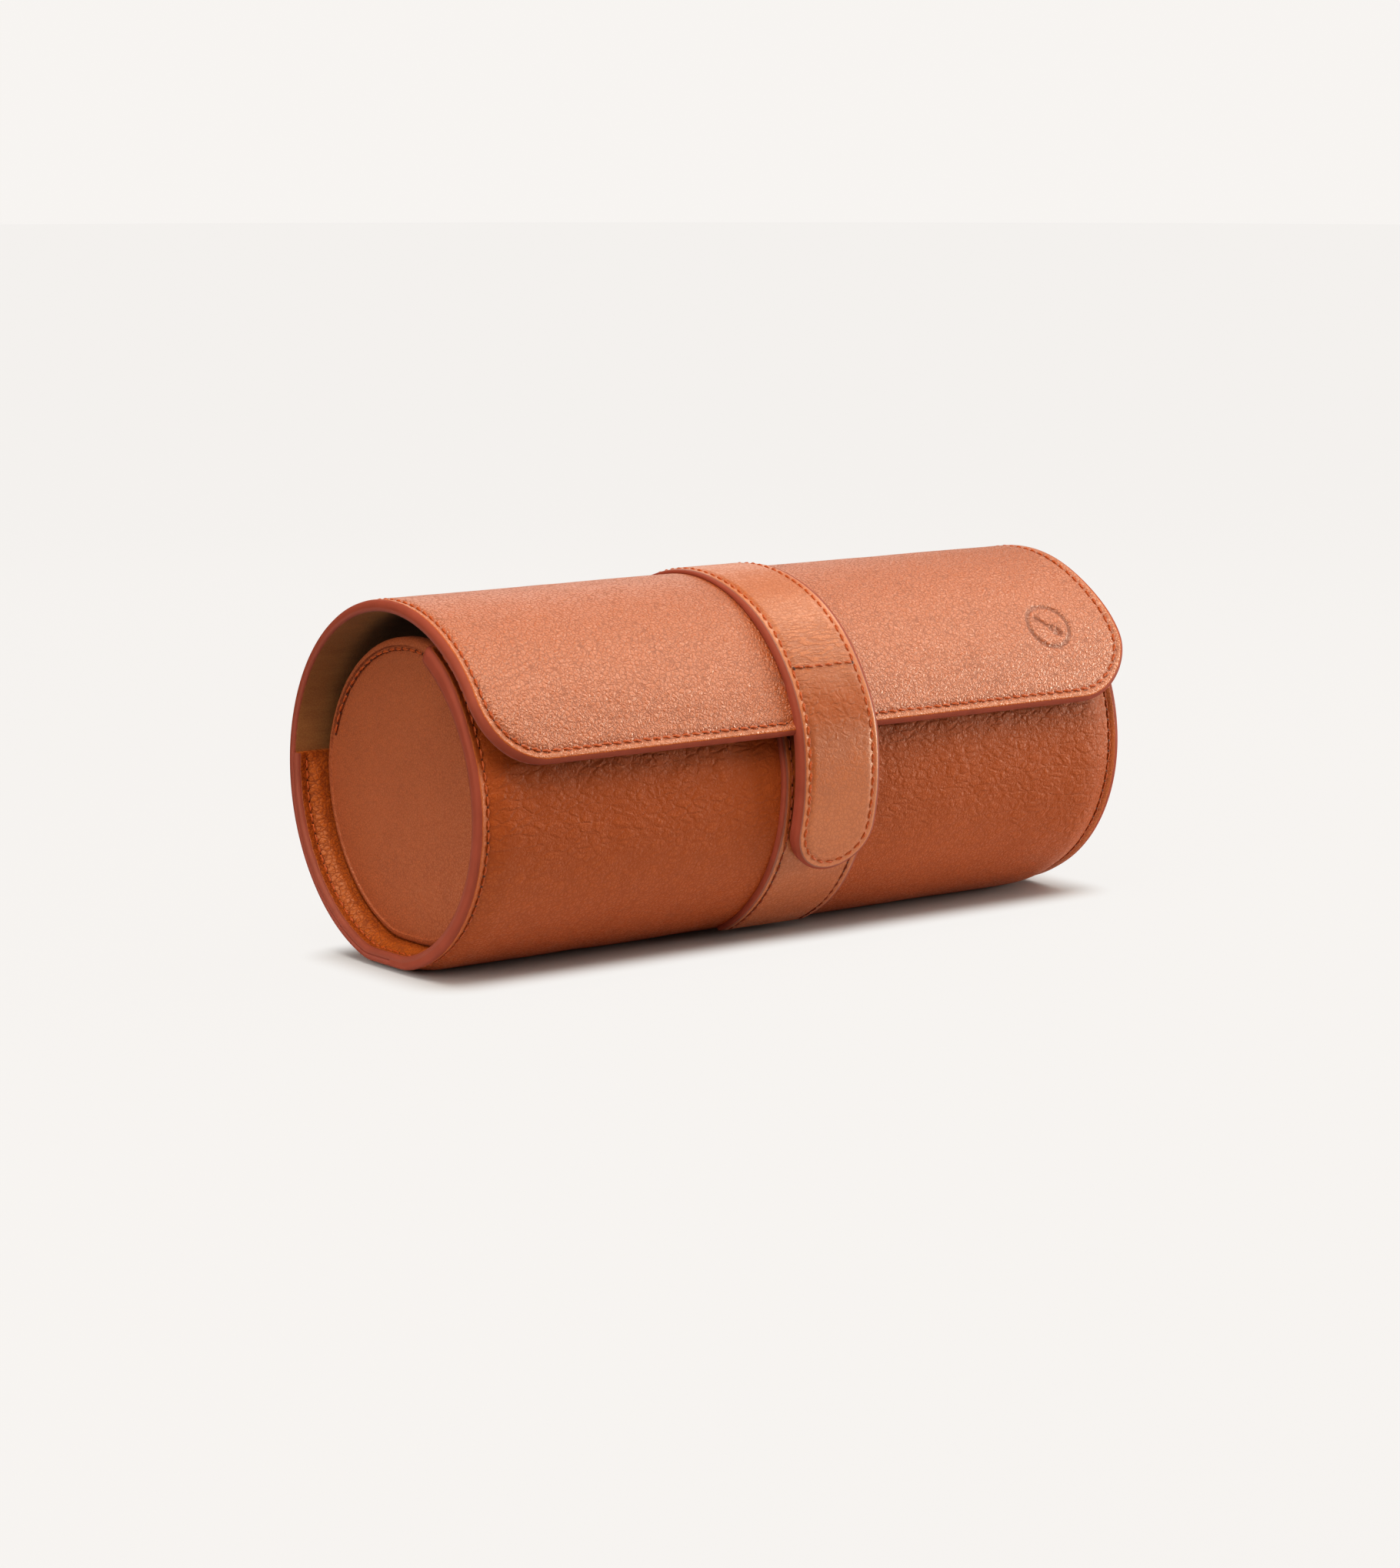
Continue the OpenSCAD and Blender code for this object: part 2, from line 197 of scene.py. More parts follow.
def folds(x, s, size, seed, turn=0.0, stretch=1.0):
    """Two octaves of noise, turned by an angle and stretched along it."""
    c, d = math.cos(math.radians(turn)), math.sin(math.radians(turn))
    u, v = (x * c + s * d) / (size * stretch), (-x * d + s * c) / size
    return value_noise(u, v, seed) * 0.65 + value_noise(u * 2.1 + 5, v * 2.1 + 9, seed + 1) * 0.35


def spread(lo, hi, step, fine_lo=None, fine_hi=None, zones=()):
    """Grid lines from lo to hi: finer near an end that is an edge, and inside given zones."""
    lines = [lo]
    while lines[-1] < hi - 1e-6:
        v = lines[-1]
        size = step
        if fine_lo is not None and v - lo < fine_lo:
            size = min(size, FINE_STEP)
        if fine_hi is not None and hi - v < fine_hi + 0.2:
            size = min(size, FINE_STEP)
        for z0, z1, zs in zones:
            if z0 <= v <= z1:
                size = min(size, zs)
        lines.append(v + size)
    lines = np.array(lines)
    return lo + (lines - lo) * (hi - lo) / (lines[-1] - lo)


# ---------------------------------------------------------------- mesh makers
def mesh_object(name, verts, faces, mats, uv=None, attrs=None, face_mat=None, sharp=50):
    mesh = bpy.data.meshes.new(name)
    verts = np.asarray(verts, np.float32)
    faces = np.asarray(faces, np.int32)
    n = faces.shape[1]
    mesh.vertices.add(len(verts))
    mesh.vertices.foreach_set("co", verts.ravel())
    mesh.loops.add(faces.size)
    mesh.loops.foreach_set("vertex_index", faces.ravel())
    mesh.polygons.add(len(faces))
    mesh.polygons.foreach_set("loop_start", np.arange(0, faces.size, n, dtype=np.int32))
    mesh.polygons.foreach_set("use_smooth", np.ones(len(faces), bool))
    if face_mat is not None:
        mesh.polygons.foreach_set("material_index", np.asarray(face_mat, np.int32))
    mesh.update(calc_edges=True)
    for m in mats:
        mesh.materials.append(m)
    if uv is not None:
        layer = mesh.uv_layers.new(name="flat")
        layer.data.foreach_set("uv", np.asarray(uv, np.float32)[faces.ravel()].ravel())
    for key, values in (attrs or {}).items():
        a = mesh.attributes.new(key, "FLOAT", "POINT")
        a.data.foreach_set("value", np.asarray(values, np.float32))
    if sharp:
        mesh.set_sharp_from_angle(angle=math.radians(sharp))
    mesh.validate()
    obj = bpy.data.objects.new(name, mesh)
    bpy.context.scene.collection.objects.link(obj)
    return obj


def edge_profile(rt, round_bot, thick):
    """Points of a cut edge from the top face down, each as (distance outwards, depth)."""
    quarter = np.radians([0, 22.5, 45, 67.5, 90])
    rb = max(round_bot, 1e-3)
    flank = thick - rt - rb
    points = [(rt * math.sin(a), rt * (1 - math.cos(a))) for a in quarter[1:]]
    if flank > MIN_FLANK:
        points.append((rt, rt + flank * 0.5))
    if round_bot <= MIN_ROUND:
        return points + [(rt, thick)]
    return points + [(rt - rb * (1 - math.cos(a)), thick - rb + rb * math.sin(a)) for a in quarter]


def sheet(name, path, s0, s1, half_w, d_top, d_bot, mats, r0=0.0, r1=0.0, step=1.2, edges="lrab",
          round_top=1.0, round_bot=1.0, top=None, low=None, marks=None, zones_x=(), zones_s=(),
          x_mid=0.0, edge_mat=None):
    """A sheet of leather, cut to a rectangle with rounded corners and laid along a path.
    edges names its open sides: l and r, b at s1 and a at s0. Depths are below the path.
    r0 and r1 are the radii of the corners at s0 and s1, round_top and round_bot those of the edge.
    top and low give how far each face swells at (x, s, distance from the cut edge)."""
    sg = 1.0 if d_bot > d_top else -1.0
    rt = round_top
    inset = {k: (rt if k in edges else 0.0) for k in "lrab"}
    fine = {k: (FINE_BAND if k in edges else None) for k in "lrab"}
    xs = spread(-half_w + inset["l"], half_w - inset["r"], step, fine["l"], fine["r"], zones_x)
    ss = spread(s0 + inset["a"], s1 - inset["b"], step, fine["a"], fine["b"], zones_s)
    X, S = np.meshgrid(xs, ss)
    nr, nc = X.shape
    # Distance from each open side, and the way out of the nearest one
    el = X + half_w if "l" in edges else np.full_like(X, FAR)
    er = half_w - X if "r" in edges else np.full_like(X, FAR)
    ea = S - s0 if "a" in edges else np.full_like(X, FAR)
    eb = s1 - S if "b" in edges else np.full_like(X, FAR)
    rim = np.minimum(np.minimum(el, er), np.minimum(ea, eb))
    nx = np.where(el <= rt + 1e-6, -1.0, 0) + np.where(er <= rt + 1e-6, 1.0, 0)
    ns = np.where(ea <= rt + 1e-6, -1.0, 0) + np.where(eb <= rt + 1e-6, 1.0, 0)
    # The grid's square corners are bent into quarter discs
    for r, e_end, c_s, sign_s in ((r0, ea, s0 + r0, -1), (r1, eb, s1 - r1, 1)):
        if r <= 0:
            continue
        for e_side, sign_x in ((el, -1), (er, 1)):
            block = (e_side < r) & (e_end < r)
            p, q = r - e_side, r - e_end
            big_pq = np.maximum(np.maximum(p, q), 1e-9)
            phi = np.where(p >= q, math.pi / 4 * q / big_pq, math.pi / 2 - math.pi / 4 * p / big_pq)
            X = np.where(block, sign_x * (half_w - r + big_pq * np.cos(phi)), X)
            S = np.where(block, c_s + sign_s * big_pq * np.sin(phi), S)
            rim = np.where(block, r - big_pq, rim)
            nx = np.where(block, sign_x * np.cos(phi), nx)
            ns = np.where(block, sign_s * np.sin(phi), ns)
    norm = np.maximum(np.hypot(nx, ns), 1e-9)
    nx, ns = nx / norm, ns / norm
    rise = top(X, S, rim) if top else np.zeros_like(X)
    drop = low(X, S, rim) if low else np.zeros_like(X)
    # The edge is a stack of rings between the top grid and the bottom grid
    mid = np.arange(nr * nc).reshape(nr, nc)
    loop = np.concatenate([mid[0, :], mid[1:, -1], mid[-1, -2::-1], mid[-2:0:-1, 0]])
    lx, ls = X.ravel()[loop], S.ravel()[loop]
    ln, lm = nx.ravel()[loop], ns.ravel()[loop]
    lrise, ldrop = rise.ravel()[loop], drop.ravel()[loop]
    is_edge = (np.abs(ln) + np.abs(lm)) > 0.5
    thick = abs(d_bot - d_top)
    steps = edge_profile(rt, round_bot, thick)
    P = [path.place(X.ravel() + x_mid, S.ravel(), -(d_top - sg * rise.ravel()))]
    U = [np.stack([X.ravel(), S.ravel()], 1)]
    R = [rim.ravel()]
    run, last = 0.0, (0.0, 0.0)
    for out, dep in steps:
        run += math.hypot(out - last[0], dep - last[1])
        last = (out, dep)
        f = dep / thick
        o = np.where(is_edge, out, 0.0)
        depth = d_top + sg * (dep - lrise * (1 - f) + ldrop * f)
        P.append(path.place(lx + ln * o + x_mid, ls + lm * o, -depth))
        U.append(np.stack([lx + ln * run, ls + lm * run], 1))
        edge_rim = (rt - out if dep <= rt else FLANK_RIM) if dep < thick - 1e-3 else 0.0
        R.append(np.where(is_edge, edge_rim, NO_RIM))
    P.append(path.place(X.ravel() + x_mid, S.ravel(), -(d_bot + sg * drop.ravel())))
    U.append(np.stack([X.ravel() + FAR, S.ravel()], 1))
    R.append(rim.ravel())
    n0, nl, k = nr * nc, len(loop), len(steps)
    topf = np.stack([mid[:-1, :-1], mid[1:, :-1], mid[1:, 1:], mid[:-1, 1:]], -1).reshape(-1, 4)
    nxt = np.roll(np.arange(nl), -1)
    rings = [loop] + [n0 + i * nl + np.arange(nl) for i in range(k)] + [loop + n0 + k * nl]
    strips = [np.stack([rings[i], rings[i][nxt], rings[i + 1][nxt], rings[i + 1]], 1) for i in range(k + 1)]
    lowf = topf[:, ::-1] + n0 + k * nl
    faces = np.concatenate([topf] + strips + [lowf])
    if sg < 0:
        faces = faces[:, ::-1]
    mats = mats + ([edge_mat] if edge_mat else [])
    face_mat = np.concatenate([np.zeros(len(topf)), np.full(sum(map(len, strips)), len(mats) - 1),
                               np.zeros(len(lowf))])
    uv = np.concatenate(U)
    attrs = {"rim": np.concatenate(R)}
    for key, fn in (marks or {}).items():
        attrs[key] = fn(uv[:, 0], uv[:, 1], attrs["rim"])
    return mesh_object(name, np.concatenate(P), faces, mats, uv=uv * UV_SCALE, attrs=attrs,
                       face_mat=face_mat)


STRAND_SIDES, STRAND_RINGS = 6, 9
# A needle hole is a patch darkened with painted shade: its outer ring is sunk into the leather, its middle
# lies just above
HOLE_R, HOLE_SIDES = 0.45, 8
HOLE_MIDDLE, HOLE_SINK, HOLE_RISE = 0.4, -0.12, 0.035


def strand_faces(idx):
    """Side faces and end caps of one strand, whose rings of points are the rows of idx."""
    nxt = np.roll(idx, -1, axis=1)
    side = np.stack([idx[:-1], nxt[:-1], nxt[1:], idx[1:]], -1).reshape(-1, 4)
    first, last = idx[0], idx[-1]
    return np.concatenate([side, [first[[0, 3, 2, 1]], first[[0, 5, 4, 3]]],
                           [last[[0, 1, 2, 3]], last[[0, 3, 4, 5]]]])


def hole_faces(idx):
    """The outer ring of a needle hole and its middle."""
    n = HOLE_SIDES
    outer = [[idx[j], idx[(j + 1) % n], idx[n + (j + 1) % n], idx[n + j]] for j in range(n)]
    return np.array(outer + [idx[[8, 9, 10, 11]], idx[[8, 11, 12, 15]], idx[[12, 13, 14, 15]]])


def seam_line(lines, place, height, name, mats, thick=0.50, lift=0.24, slant=0.35, seed=1):
    """Rows of stitches along flat lines, each of two twisted strands, with needle holes between.
    place(x, s, height) gives world points; thick is a stitch's width and lift how far it stands up."""
    verts, faces, face_mat, uv = [], [], [], []
    rng = np.random.default_rng(seed)
    u = np.linspace(0, 1, STRAND_RINGS)
    body = np.sin(np.pi * u) ** 0.5
    rad = thick * 0.5 * (0.35 + 0.65 * body)
    ang = np.arange(STRAND_SIDES) * 2 * np.pi / STRAND_SIDES
    hole_ang = np.arange(HOLE_SIDES) * 2 * np.pi / HOLE_SIDES
    base = 0
    for line in lines:
        line = np.asarray(line, float)
        run = np.r_[0, np.cumsum(np.linalg.norm(np.diff(line, axis=0), axis=1))]
        n = max(1, int(round(run[-1] / PITCH)))
        at = np.linspace(0, run[-1], n + 1)
        hx, hs = (np.interp(at, run, line[:, i]) for i in (0, 1))
        for i in range(n):
            a, b = np.array([hx[i], hs[i]]), np.array([hx[i + 1], hs[i + 1]])
            along = (b - a) / np.linalg.norm(b - a)
            across = np.array([-along[1], along[0]])
            wob = rng.normal(0, 0.05, 3)
            for strand in (0, 1):
                turn = 2 * np.pi * (u * (0.9 + wob[0]) + 0.5 * strand + wob[1])
                cen = a + np.outer(0.04 + 0.92 * u, b - a)
                cen += np.outer((u - 0.5) * slant + 0.55 * rad * np.cos(turn) + wob[2], across)
                h = height - 0.25 + (lift + 0.25) * body + 0.55 * rad * np.sin(turn)
                off = cen[:, None, :] + (rad[:, None] * np.cos(ang))[:, :, None] * across
                hh = h[:, None] + rad[:, None] * np.sin(ang)
                verts.append(place(off[..., 0].ravel(), off[..., 1].ravel(), hh.ravel()))
                uv.append(np.stack([np.repeat(u, STRAND_SIDES), np.tile(ang, STRAND_RINGS)], 1))
                grid = base + np.arange(len(verts[-1])).reshape(STRAND_RINGS, STRAND_SIDES)
                faces.append(strand_faces(grid))
                face_mat.append(np.zeros(len(faces[-1])))
                base += len(verts[-1])
        for i in range(n + 1):
            r = HOLE_R * (1 + rng.normal(0, 0.08))
            hole_rad = r * np.repeat([1.0, HOLE_MIDDLE], HOLE_SIDES)
            cx = hx[i] + hole_rad * np.cos(np.tile(hole_ang, 2))
            cs = hs[i] + hole_rad * np.sin(np.tile(hole_ang, 2))
            hh = height + np.repeat([HOLE_SINK, HOLE_RISE], HOLE_SIDES)
            verts.append(place(cx, cs, hh))
            uv.append(np.stack([cx, cs], 1))
            faces.append(hole_faces(base + np.arange(2 * HOLE_SIDES)))
            face_mat.append(np.ones(len(faces[-1])))
            base += 2 * HOLE_SIDES
    return mesh_object(name, np.concatenate(verts), np.concatenate(faces), mats, uv=np.concatenate(uv),
                       face_mat=np.concatenate(face_mat), sharp=0)


# ---------------------------------------------------------------- materials
class Nodes:
    """A few short cuts for writing node trees."""

    def __init__(self, name):
        self.mat = bpy.data.materials.new(name)
        self.mat.use_nodes = True
        self.t = self.mat.node_tree
        self.bsdf = self.t.nodes["Principled BSDF"]
        self.flat = self.add("ShaderNodeUVMap", uv_map="flat").outputs[0]

    def add(self, kind, inputs=None, **props):
        n = self.t.nodes.new(kind)
        for k, v in props.items():
            setattr(n, k, v)
        for k, v in (inputs or {}).items():
            self.put(n.inputs[k], v)
        return n

    def put(self, socket, v):
        if isinstance(v, bpy.types.NodeSocket):
            self.t.links.new(v, socket)
        elif isinstance(v, (tuple, list)) and len(v) == 3 and socket.type == "RGBA":
            socket.default_value = (*v, 1)
        else:
            socket.default_value = v

    def math(self, op, a, b=0.0, clamp=False):
        n = self.add("ShaderNodeMath", operation=op, use_clamp=clamp)
        self.put(n.inputs[0], a)
        self.put(n.inputs[1], b)
        return n.outputs[0]

    def plus(self, a, b):
        return self.math("ADD", a, b)

    def minus(self, a, b):
        return self.math("SUBTRACT", a, b)

    def times(self, a, b):
        return self.math("MULTIPLY", a, b)

    def mix(self, f, a, b):
        n = self.add("ShaderNodeMix", data_type="RGBA")
        self.put(n.inputs[0], f)
        self.put(n.inputs[6], a)
        self.put(n.inputs[7], b)
        return n.outputs[2]

    def ramp(self, v, lo, hi, to0=0.0, to1=1.0):
        values = {0: v, 1: lo, 2: hi, 3: to0, 4: to1}
        return self.add("ShaderNodeMapRange", values, interpolation_type="SMOOTHSTEP").outputs[0]

    def attr(self, name):
        return self.add("ShaderNodeAttribute", attribute_name=name).outputs["Fac"]

    def coords(self, size, turn=0.0, stretch=1.0):
        """Flat leather coordinates in units of size millimetres."""
        k = 1 / (UV_SCALE * size)
        m = self.add("ShaderNodeMapping", {0: self.flat}, vector_type="POINT")
        m.inputs["Rotation"].default_value = (0, 0, math.radians(turn))
        m.inputs["Scale"].default_value = (k / stretch, k, k)
        return m.outputs[0]

    def noise(self, vec, scale=1.0, detail=3.0, rough=0.5):
        values = {"Vector": vec, "Scale": scale, "Detail": detail, "Roughness": rough}
        return self.add("ShaderNodeTexNoise", values).outputs[0]

    def warp(self, vec, amount, scale=0.6):
        n = self.add("ShaderNodeTexNoise", {"Vector": vec, "Scale": scale, "Detail": 2.0})
        s = self.add("ShaderNodeVectorMath", operation="SUBTRACT")
        self.put(s.inputs[0], n.outputs["Color"])
        s.inputs[1].default_value = (0.5, 0.5, 0.5)
        m = self.add("ShaderNodeVectorMath", operation="SCALE")
        self.put(m.inputs[0], s.outputs[0])
        m.inputs["Scale"].default_value = amount
        a = self.add("ShaderNodeVectorMath", operation="ADD")
        self.put(a.inputs[0], vec)
        self.put(a.inputs[1], m.outputs[0])
        return a.outputs[0]

    def cells(self, vec):
        """Distance to the edge of the nearest cell."""
        n = self.add("ShaderNodeTexVoronoi", {"Vector": vec, "Scale": 1.0}, feature="DISTANCE_TO_EDGE")
        return n.outputs["Distance"]

    def finish(self, color, rough, height=None, depth_mm=0.1, **plain):
        self.put(self.bsdf.inputs["Base Color"], color)
        self.put(self.bsdf.inputs["Roughness"], rough)
        if height is not None:
            values = {"Height": height, "Distance": depth_mm * MM}
            self.put(self.bsdf.inputs["Normal"], self.add("ShaderNodeBump", values).outputs[0])
        for k, v in plain.items():
            self.put(self.bsdf.inputs[k.replace("_", " ").title().replace("Ior", "IOR")], v)
        return self.mat


PAINT = (0.27, 0.060, 0.034)
# Painted shade: the deep tone that the plates' zone is darkened towards
PLATE_SHADE_COLOR = (0.31, 0.054, 0.001)
# Painted highlight: the lighter tone that the leather takes towards its cut edge
EDGE_HIGHLIGHT_COLOR = (0.56, 0.17, 0.055)
PAINT_ROUGH = 0.62


def leather(name, light, dark, grain=1.15, grain_h=0.5, fold=3.0, fold_h=0.35, turn=-30.0, stretch=1.6,
            rough=(0.34, 0.44), depth=0.12, mottle=0.25, plates=None, plate_h=0.5, plate_dim=0.3,
            plate_shade=0.25, dulled=0.30, crease=None, mark=False, ior=1.5, spec=0.6, tint=(1.0, 0.93, 0.74),
            rim=True, edge_highlight=0.35, valley=0.20, valley_dim=0.45):
    """Pebbled leather: light pebbles with dark, duller valleys between them, over soft rolls.
    grain, fold, plates and crease are the sizes in mm of the pebbles, the rolls, the larger plates that
    the leather crackles into and its cross creases. Names in _h are heights and names in _dim are how
    much a feature darkens. plate_shade is how much painted shade darkens the plates' zone and how much
    rougher it makes it, dulled how much rougher a valley is, and edge_highlight how much a painted
    highlight lightens the leather towards its edge.
    The attributes plates, crease and mark say where those lie, and rim how far the cut edge is."""
    m = Nodes(name)
    edges = m.cells(m.warp(m.coords(grain), 0.75))
    fine_edges = m.cells(m.warp(m.coords(grain * 0.5), 0.6))
    dome = m.plus(m.times(m.ramp(edges, 0.0, 0.38), 0.6), m.times(m.ramp(fine_edges, 0.0, 0.34), 0.4))
    line = m.plus(m.times(m.ramp(edges, 0.0, valley), 0.75), m.times(m.ramp(fine_edges, 0.0, valley), 0.25))
    rolls = m.noise(m.warp(m.coords(fold, turn, stretch), 0.5), 1.0, 4.0, 0.6)
    blotch = m.noise(m.coords(16), 1.0, 4.0, 0.6)
    fine = m.noise(m.coords(0.3), 1.0, 2.0, 0.6)
    height = m.plus(m.times(dome, grain_h), m.times(rolls, fold_h))
    shade = m.plus(m.times(line, valley_dim), m.times(blotch, mottle))
    shade = m.plus(shade, m.times(m.minus(fine, 0.5), 0.3))
    # The colour follows the rolls that shape the surface: painted shade in their hollows, painted highlight
    # on their crests
    shade = m.plus(shade, m.times(m.minus(rolls, 0.5), 0.5 * min(1.0, fold_h)))
    dull = m.ramp(line, 0.0, 1.0, dulled, 0.0)
    cuts = []
    if plates:
        gaps = m.cells(m.warp(m.coords(plates, turn, stretch), 0.9, 0.9))
        gap = m.minus(1.0, m.ramp(gaps, 0.0, 0.26))
        cuts.append((m.times(gap, m.attr("plates")), plate_h, plate_dim))
        # Painted shade darkens the plates' zone: mostly just below the flap on the wall, and at the strap's
        # bend
        shade = m.minus(shade, m.times(m.attr("plates"), plate_shade))
        dull = m.plus(dull, m.times(m.attr("plates"), 1.1 * plate_shade))
    if crease:
        lines = m.noise(m.warp(m.coords(crease, 0, 4.0), 0.4), 1.0, 3.0, 0.55)
        off_line = m.math("ABSOLUTE", m.minus(lines, 0.5))
        cut = m.math("SUBTRACT", 1.0, m.times(off_line, 13.0), clamp=True)
        cuts.append((m.times(cut, m.attr("crease")), 0.9, 0.4))
    if mark:
        cuts.append((m.attr("mark"), 0.0, 0.45))
    for cut, deep, dim in cuts:
        height = m.minus(height, m.times(cut, deep))
        shade = m.minus(shade, m.times(cut, dim))
    color = m.mix(m.ramp(shade, 0.0, 0.13 + valley_dim), dark, light)
    # The plates' zone is taken towards the deep tone of its painted shade
    if plates:
        color = m.mix(m.times(m.attr("plates"), 2.0 * plate_shade), color, PLATE_SHADE_COLOR)
    gloss = m.ramp(m.plus(dome, m.times(blotch, 0.6)), 0.3, 1.4, rough[1], rough[0])
    gloss = m.math("MINIMUM", m.plus(gloss, dull), 0.9)
    if rim:
        ragged = m.times(m.minus(m.noise(m.coords(1.4), 1.0, 2.0), 0.5), 0.35)
        edge = m.plus(m.attr("rim"), ragged)
        # Painted highlight: the leather lightens towards its cut edge
        color = m.mix(m.times(m.ramp(edge, 3.0, 1.6), edge_highlight), color, EDGE_HIGHLIGHT_COLOR)
        painted = m.ramp(edge, 1.35, 1.1)
        thin, full = (tuple(c * (k - 0.25 * spec) for c in PAINT) for k in (0.9, 1.2))
        color = m.mix(painted, color, m.mix(m.noise(m.coords(5), 1.0, 3.0), thin, full))
        gloss = m.plus(m.times(gloss, m.minus(1.0, painted)), m.times(painted, PAINT_ROUGH))
        height = m.times(height, m.minus(1.0, m.times(painted, 0.9)))
    return m.finish(color, gloss, height, depth, ior=ior, specular_ior_level=spec,
                    specular_tint=(*tint, 1.0))


TAN = (0.42, 0.086, 0.0110), (0.22, 0.036, 0.002)
# The wall is the same leather as the flap: its lighter tone, set below TAN's, is painted shade
WALL_TAN = (0.39, 0.080, 0.0115), (0.30, 0.056, 0.007)
flap_leather = leather("flap_leather_look", *TAN, grain_h=1.6, mark=True, spec=1.0, ior=1.64,
                       tint=(1.0, 0.93, 0.78), rough=(0.31, 0.40), valley=0.14, valley_dim=0.62)
flap_edge = leather("flap_edge_look", *TAN, grain_h=1.1, spec=0.15, valley=0.12, valley_dim=0.62)
wall_edge = leather("wall_edge_look", *WALL_TAN, grain_h=0.7, spec=0.15)
strap_edge = leather("strap_edge_look", *WALL_TAN, grain_h=0.5, spec=0.15)
wall_leather = leather("wall_leather_look", *WALL_TAN, grain_h=0.7, fold=2.4, fold_h=1.7, stretch=1.7,
                       plates=2.4, plate_h=1.25, plate_dim=0.32, plate_shade=0.14, dulled=0.12, spec=0.40,
                       mottle=0.12)
panel_leather = leather("panel_leather_look", (0.37, 0.088, 0.024), (0.25, 0.050, 0.012), grain=0.8,
                        grain_h=0.75, rough=(0.44, 0.56), spec=0.9, rim=False)
strap_leather = leather("strap_leather_look", (0.43, 0.096, 0.012), (0.32, 0.064, 0.006), grain=1.2,
                        grain_h=0.3, fold_h=0.4, rough=(0.30, 0.42), crease=1.5, plates=2.4, plate_h=1.3,
                        plate_shade=0.36, dulled=0.1, valley_dim=0.20, stretch=1.3, turn=10, spec=1.0, ior=1.56)
lining_leather = leather("lining_leather_look", (0.37, 0.085, 0.010), (0.19, 0.034, 0.003), grain=1.3,
                         grain_h=0.35, fold=1.7, fold_h=1.5, turn=70, stretch=1.8, rough=(0.30, 0.42),
                         depth=0.24, edge_highlight=0.0, spec=0.4)


def suede_look():
    m = Nodes("suede_look")
    nap = m.noise(m.coords(0.5), 1.0, 4.0, 0.7)
    cloud = m.noise(m.coords(9, 20, 1.8), 1.0, 4.0, 0.6)
    streak = m.noise(m.coords(1.6, 12, 5), 1.0, 3.0, 0.6)
    v = m.plus(m.plus(m.times(nap, 0.7), m.times(cloud, 0.4)), m.times(streak, 0.3))
    color = m.mix(m.ramp(v, 0.35, 1.05), (0.22, 0.090, 0.024), (0.41, 0.185, 0.059))
    edge = m.plus(m.attr("rim"), m.times(m.minus(m.noise(m.coords(1.4), 1.0, 2.0), 0.5), 0.5))
    color = m.mix(m.ramp(edge, 0.75, 0.35), color, PAINT)
    return m.finish(color, 0.92, nap, 0.12, sheen_weight=0.12, sheen_roughness=0.5, specular_ior_level=0.2)


def thread_look(name, light, dark):
    m = Nodes(name)
    v = m.noise(m.add("ShaderNodeTexCoord").outputs["Object"], 2600.0, 2.0)
    return m.finish(m.mix(v, dark, light), 0.5, v, 0.05, specular_ior_level=0.4)


def plain_look(name, light, dark, size, rough, depth=0.05, metal=0.0):
    """For the hidden boards and magnets."""
    m = Nodes(name)
    v = m.noise(m.add("ShaderNodeTexCoord").outputs["Object"], 1000.0 / size, 5.0, 0.65)
    gloss = m.ramp(v, 0.2, 0.8, rough * 0.85, min(1.0, rough * 1.15))
    return m.finish(m.mix(m.ramp(v, 0.3, 0.7), dark, light), gloss, v, depth, metallic=metal)


suede = suede_look()
thread = thread_look("thread_look", (0.50, 0.105, 0.016), (0.33, 0.055, 0.007))
thread_dark = thread_look("dark_thread_look", (0.30, 0.055, 0.011), (0.17, 0.027, 0.005))
# The needle holes' dark colour is painted shade
hole = thread_look("needle_hole_look", (0.10, 0.020, 0.004), (0.055, 0.010, 0.002))
board = plain_look("board_look", (0.42, 0.33, 0.23), (0.3, 0.23, 0.15), 1.2, 0.9)
magnet = plain_look("magnet_look", (0.62, 0.62, 0.65), (0.5, 0.5, 0.54), 0.8, 0.3, 0.01, 1.0)
for look, nodes in ((board, ("wrap_board", "left_end_board", "right_end_board")),
                    (magnet, ("landing_magnet", "tab_magnet"))):
    for node in nodes:
        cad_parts[node].data.materials.clear()
        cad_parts[node].data.materials.append(look)


# ---------------------------------------------------------------- the case's sheets
FOLD_A, FOLD_B = 5.0, 20.0
# How far the leather dips towards the rims, and rises again at the very edge
END_DIP, END_LIP = 1.1, 0.25


def on_back(r, a):
    """A point of the back, in metres."""
    return (0, r * math.cos(math.radians(a)) * MM, (AXIS_Z + r * math.sin(math.radians(a))) * MM)


def fold(obj):
    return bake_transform(obj, "case", "flap", start=on_back(WRAP_R, FOLD_A), end=on_back(WRAP_R, FOLD_B))


def seam_groove(rim, deep, wide=0.9, at=SEAM):
    return -deep * bump(rim, at, wide)


def wall_top(x, s, rim):
    side = HALF_L - np.abs(x)
    shoulder = (1 - smooth(3.5, 13.5, HALF_L - x)) * (1 - smooth(95, S_BOTTOM, s))
    dip = END_DIP * (1 - smooth(2.6, 9.5, side)) + shoulder
    puff = -dip * smooth(8, 30, s) + END_LIP * (1 - smooth(0.5, 2.6, side))
    waves = 0.22 * folds(x, s, 11, 3, -35, 1.7) + 0.2 * folds(x, s, 4.0, 5, -35, 1.8) * crackle_and_shade(x, s, rim)
    return puff + seam_groove(rim, 0.38) + waves * smooth(2, 8, rim)


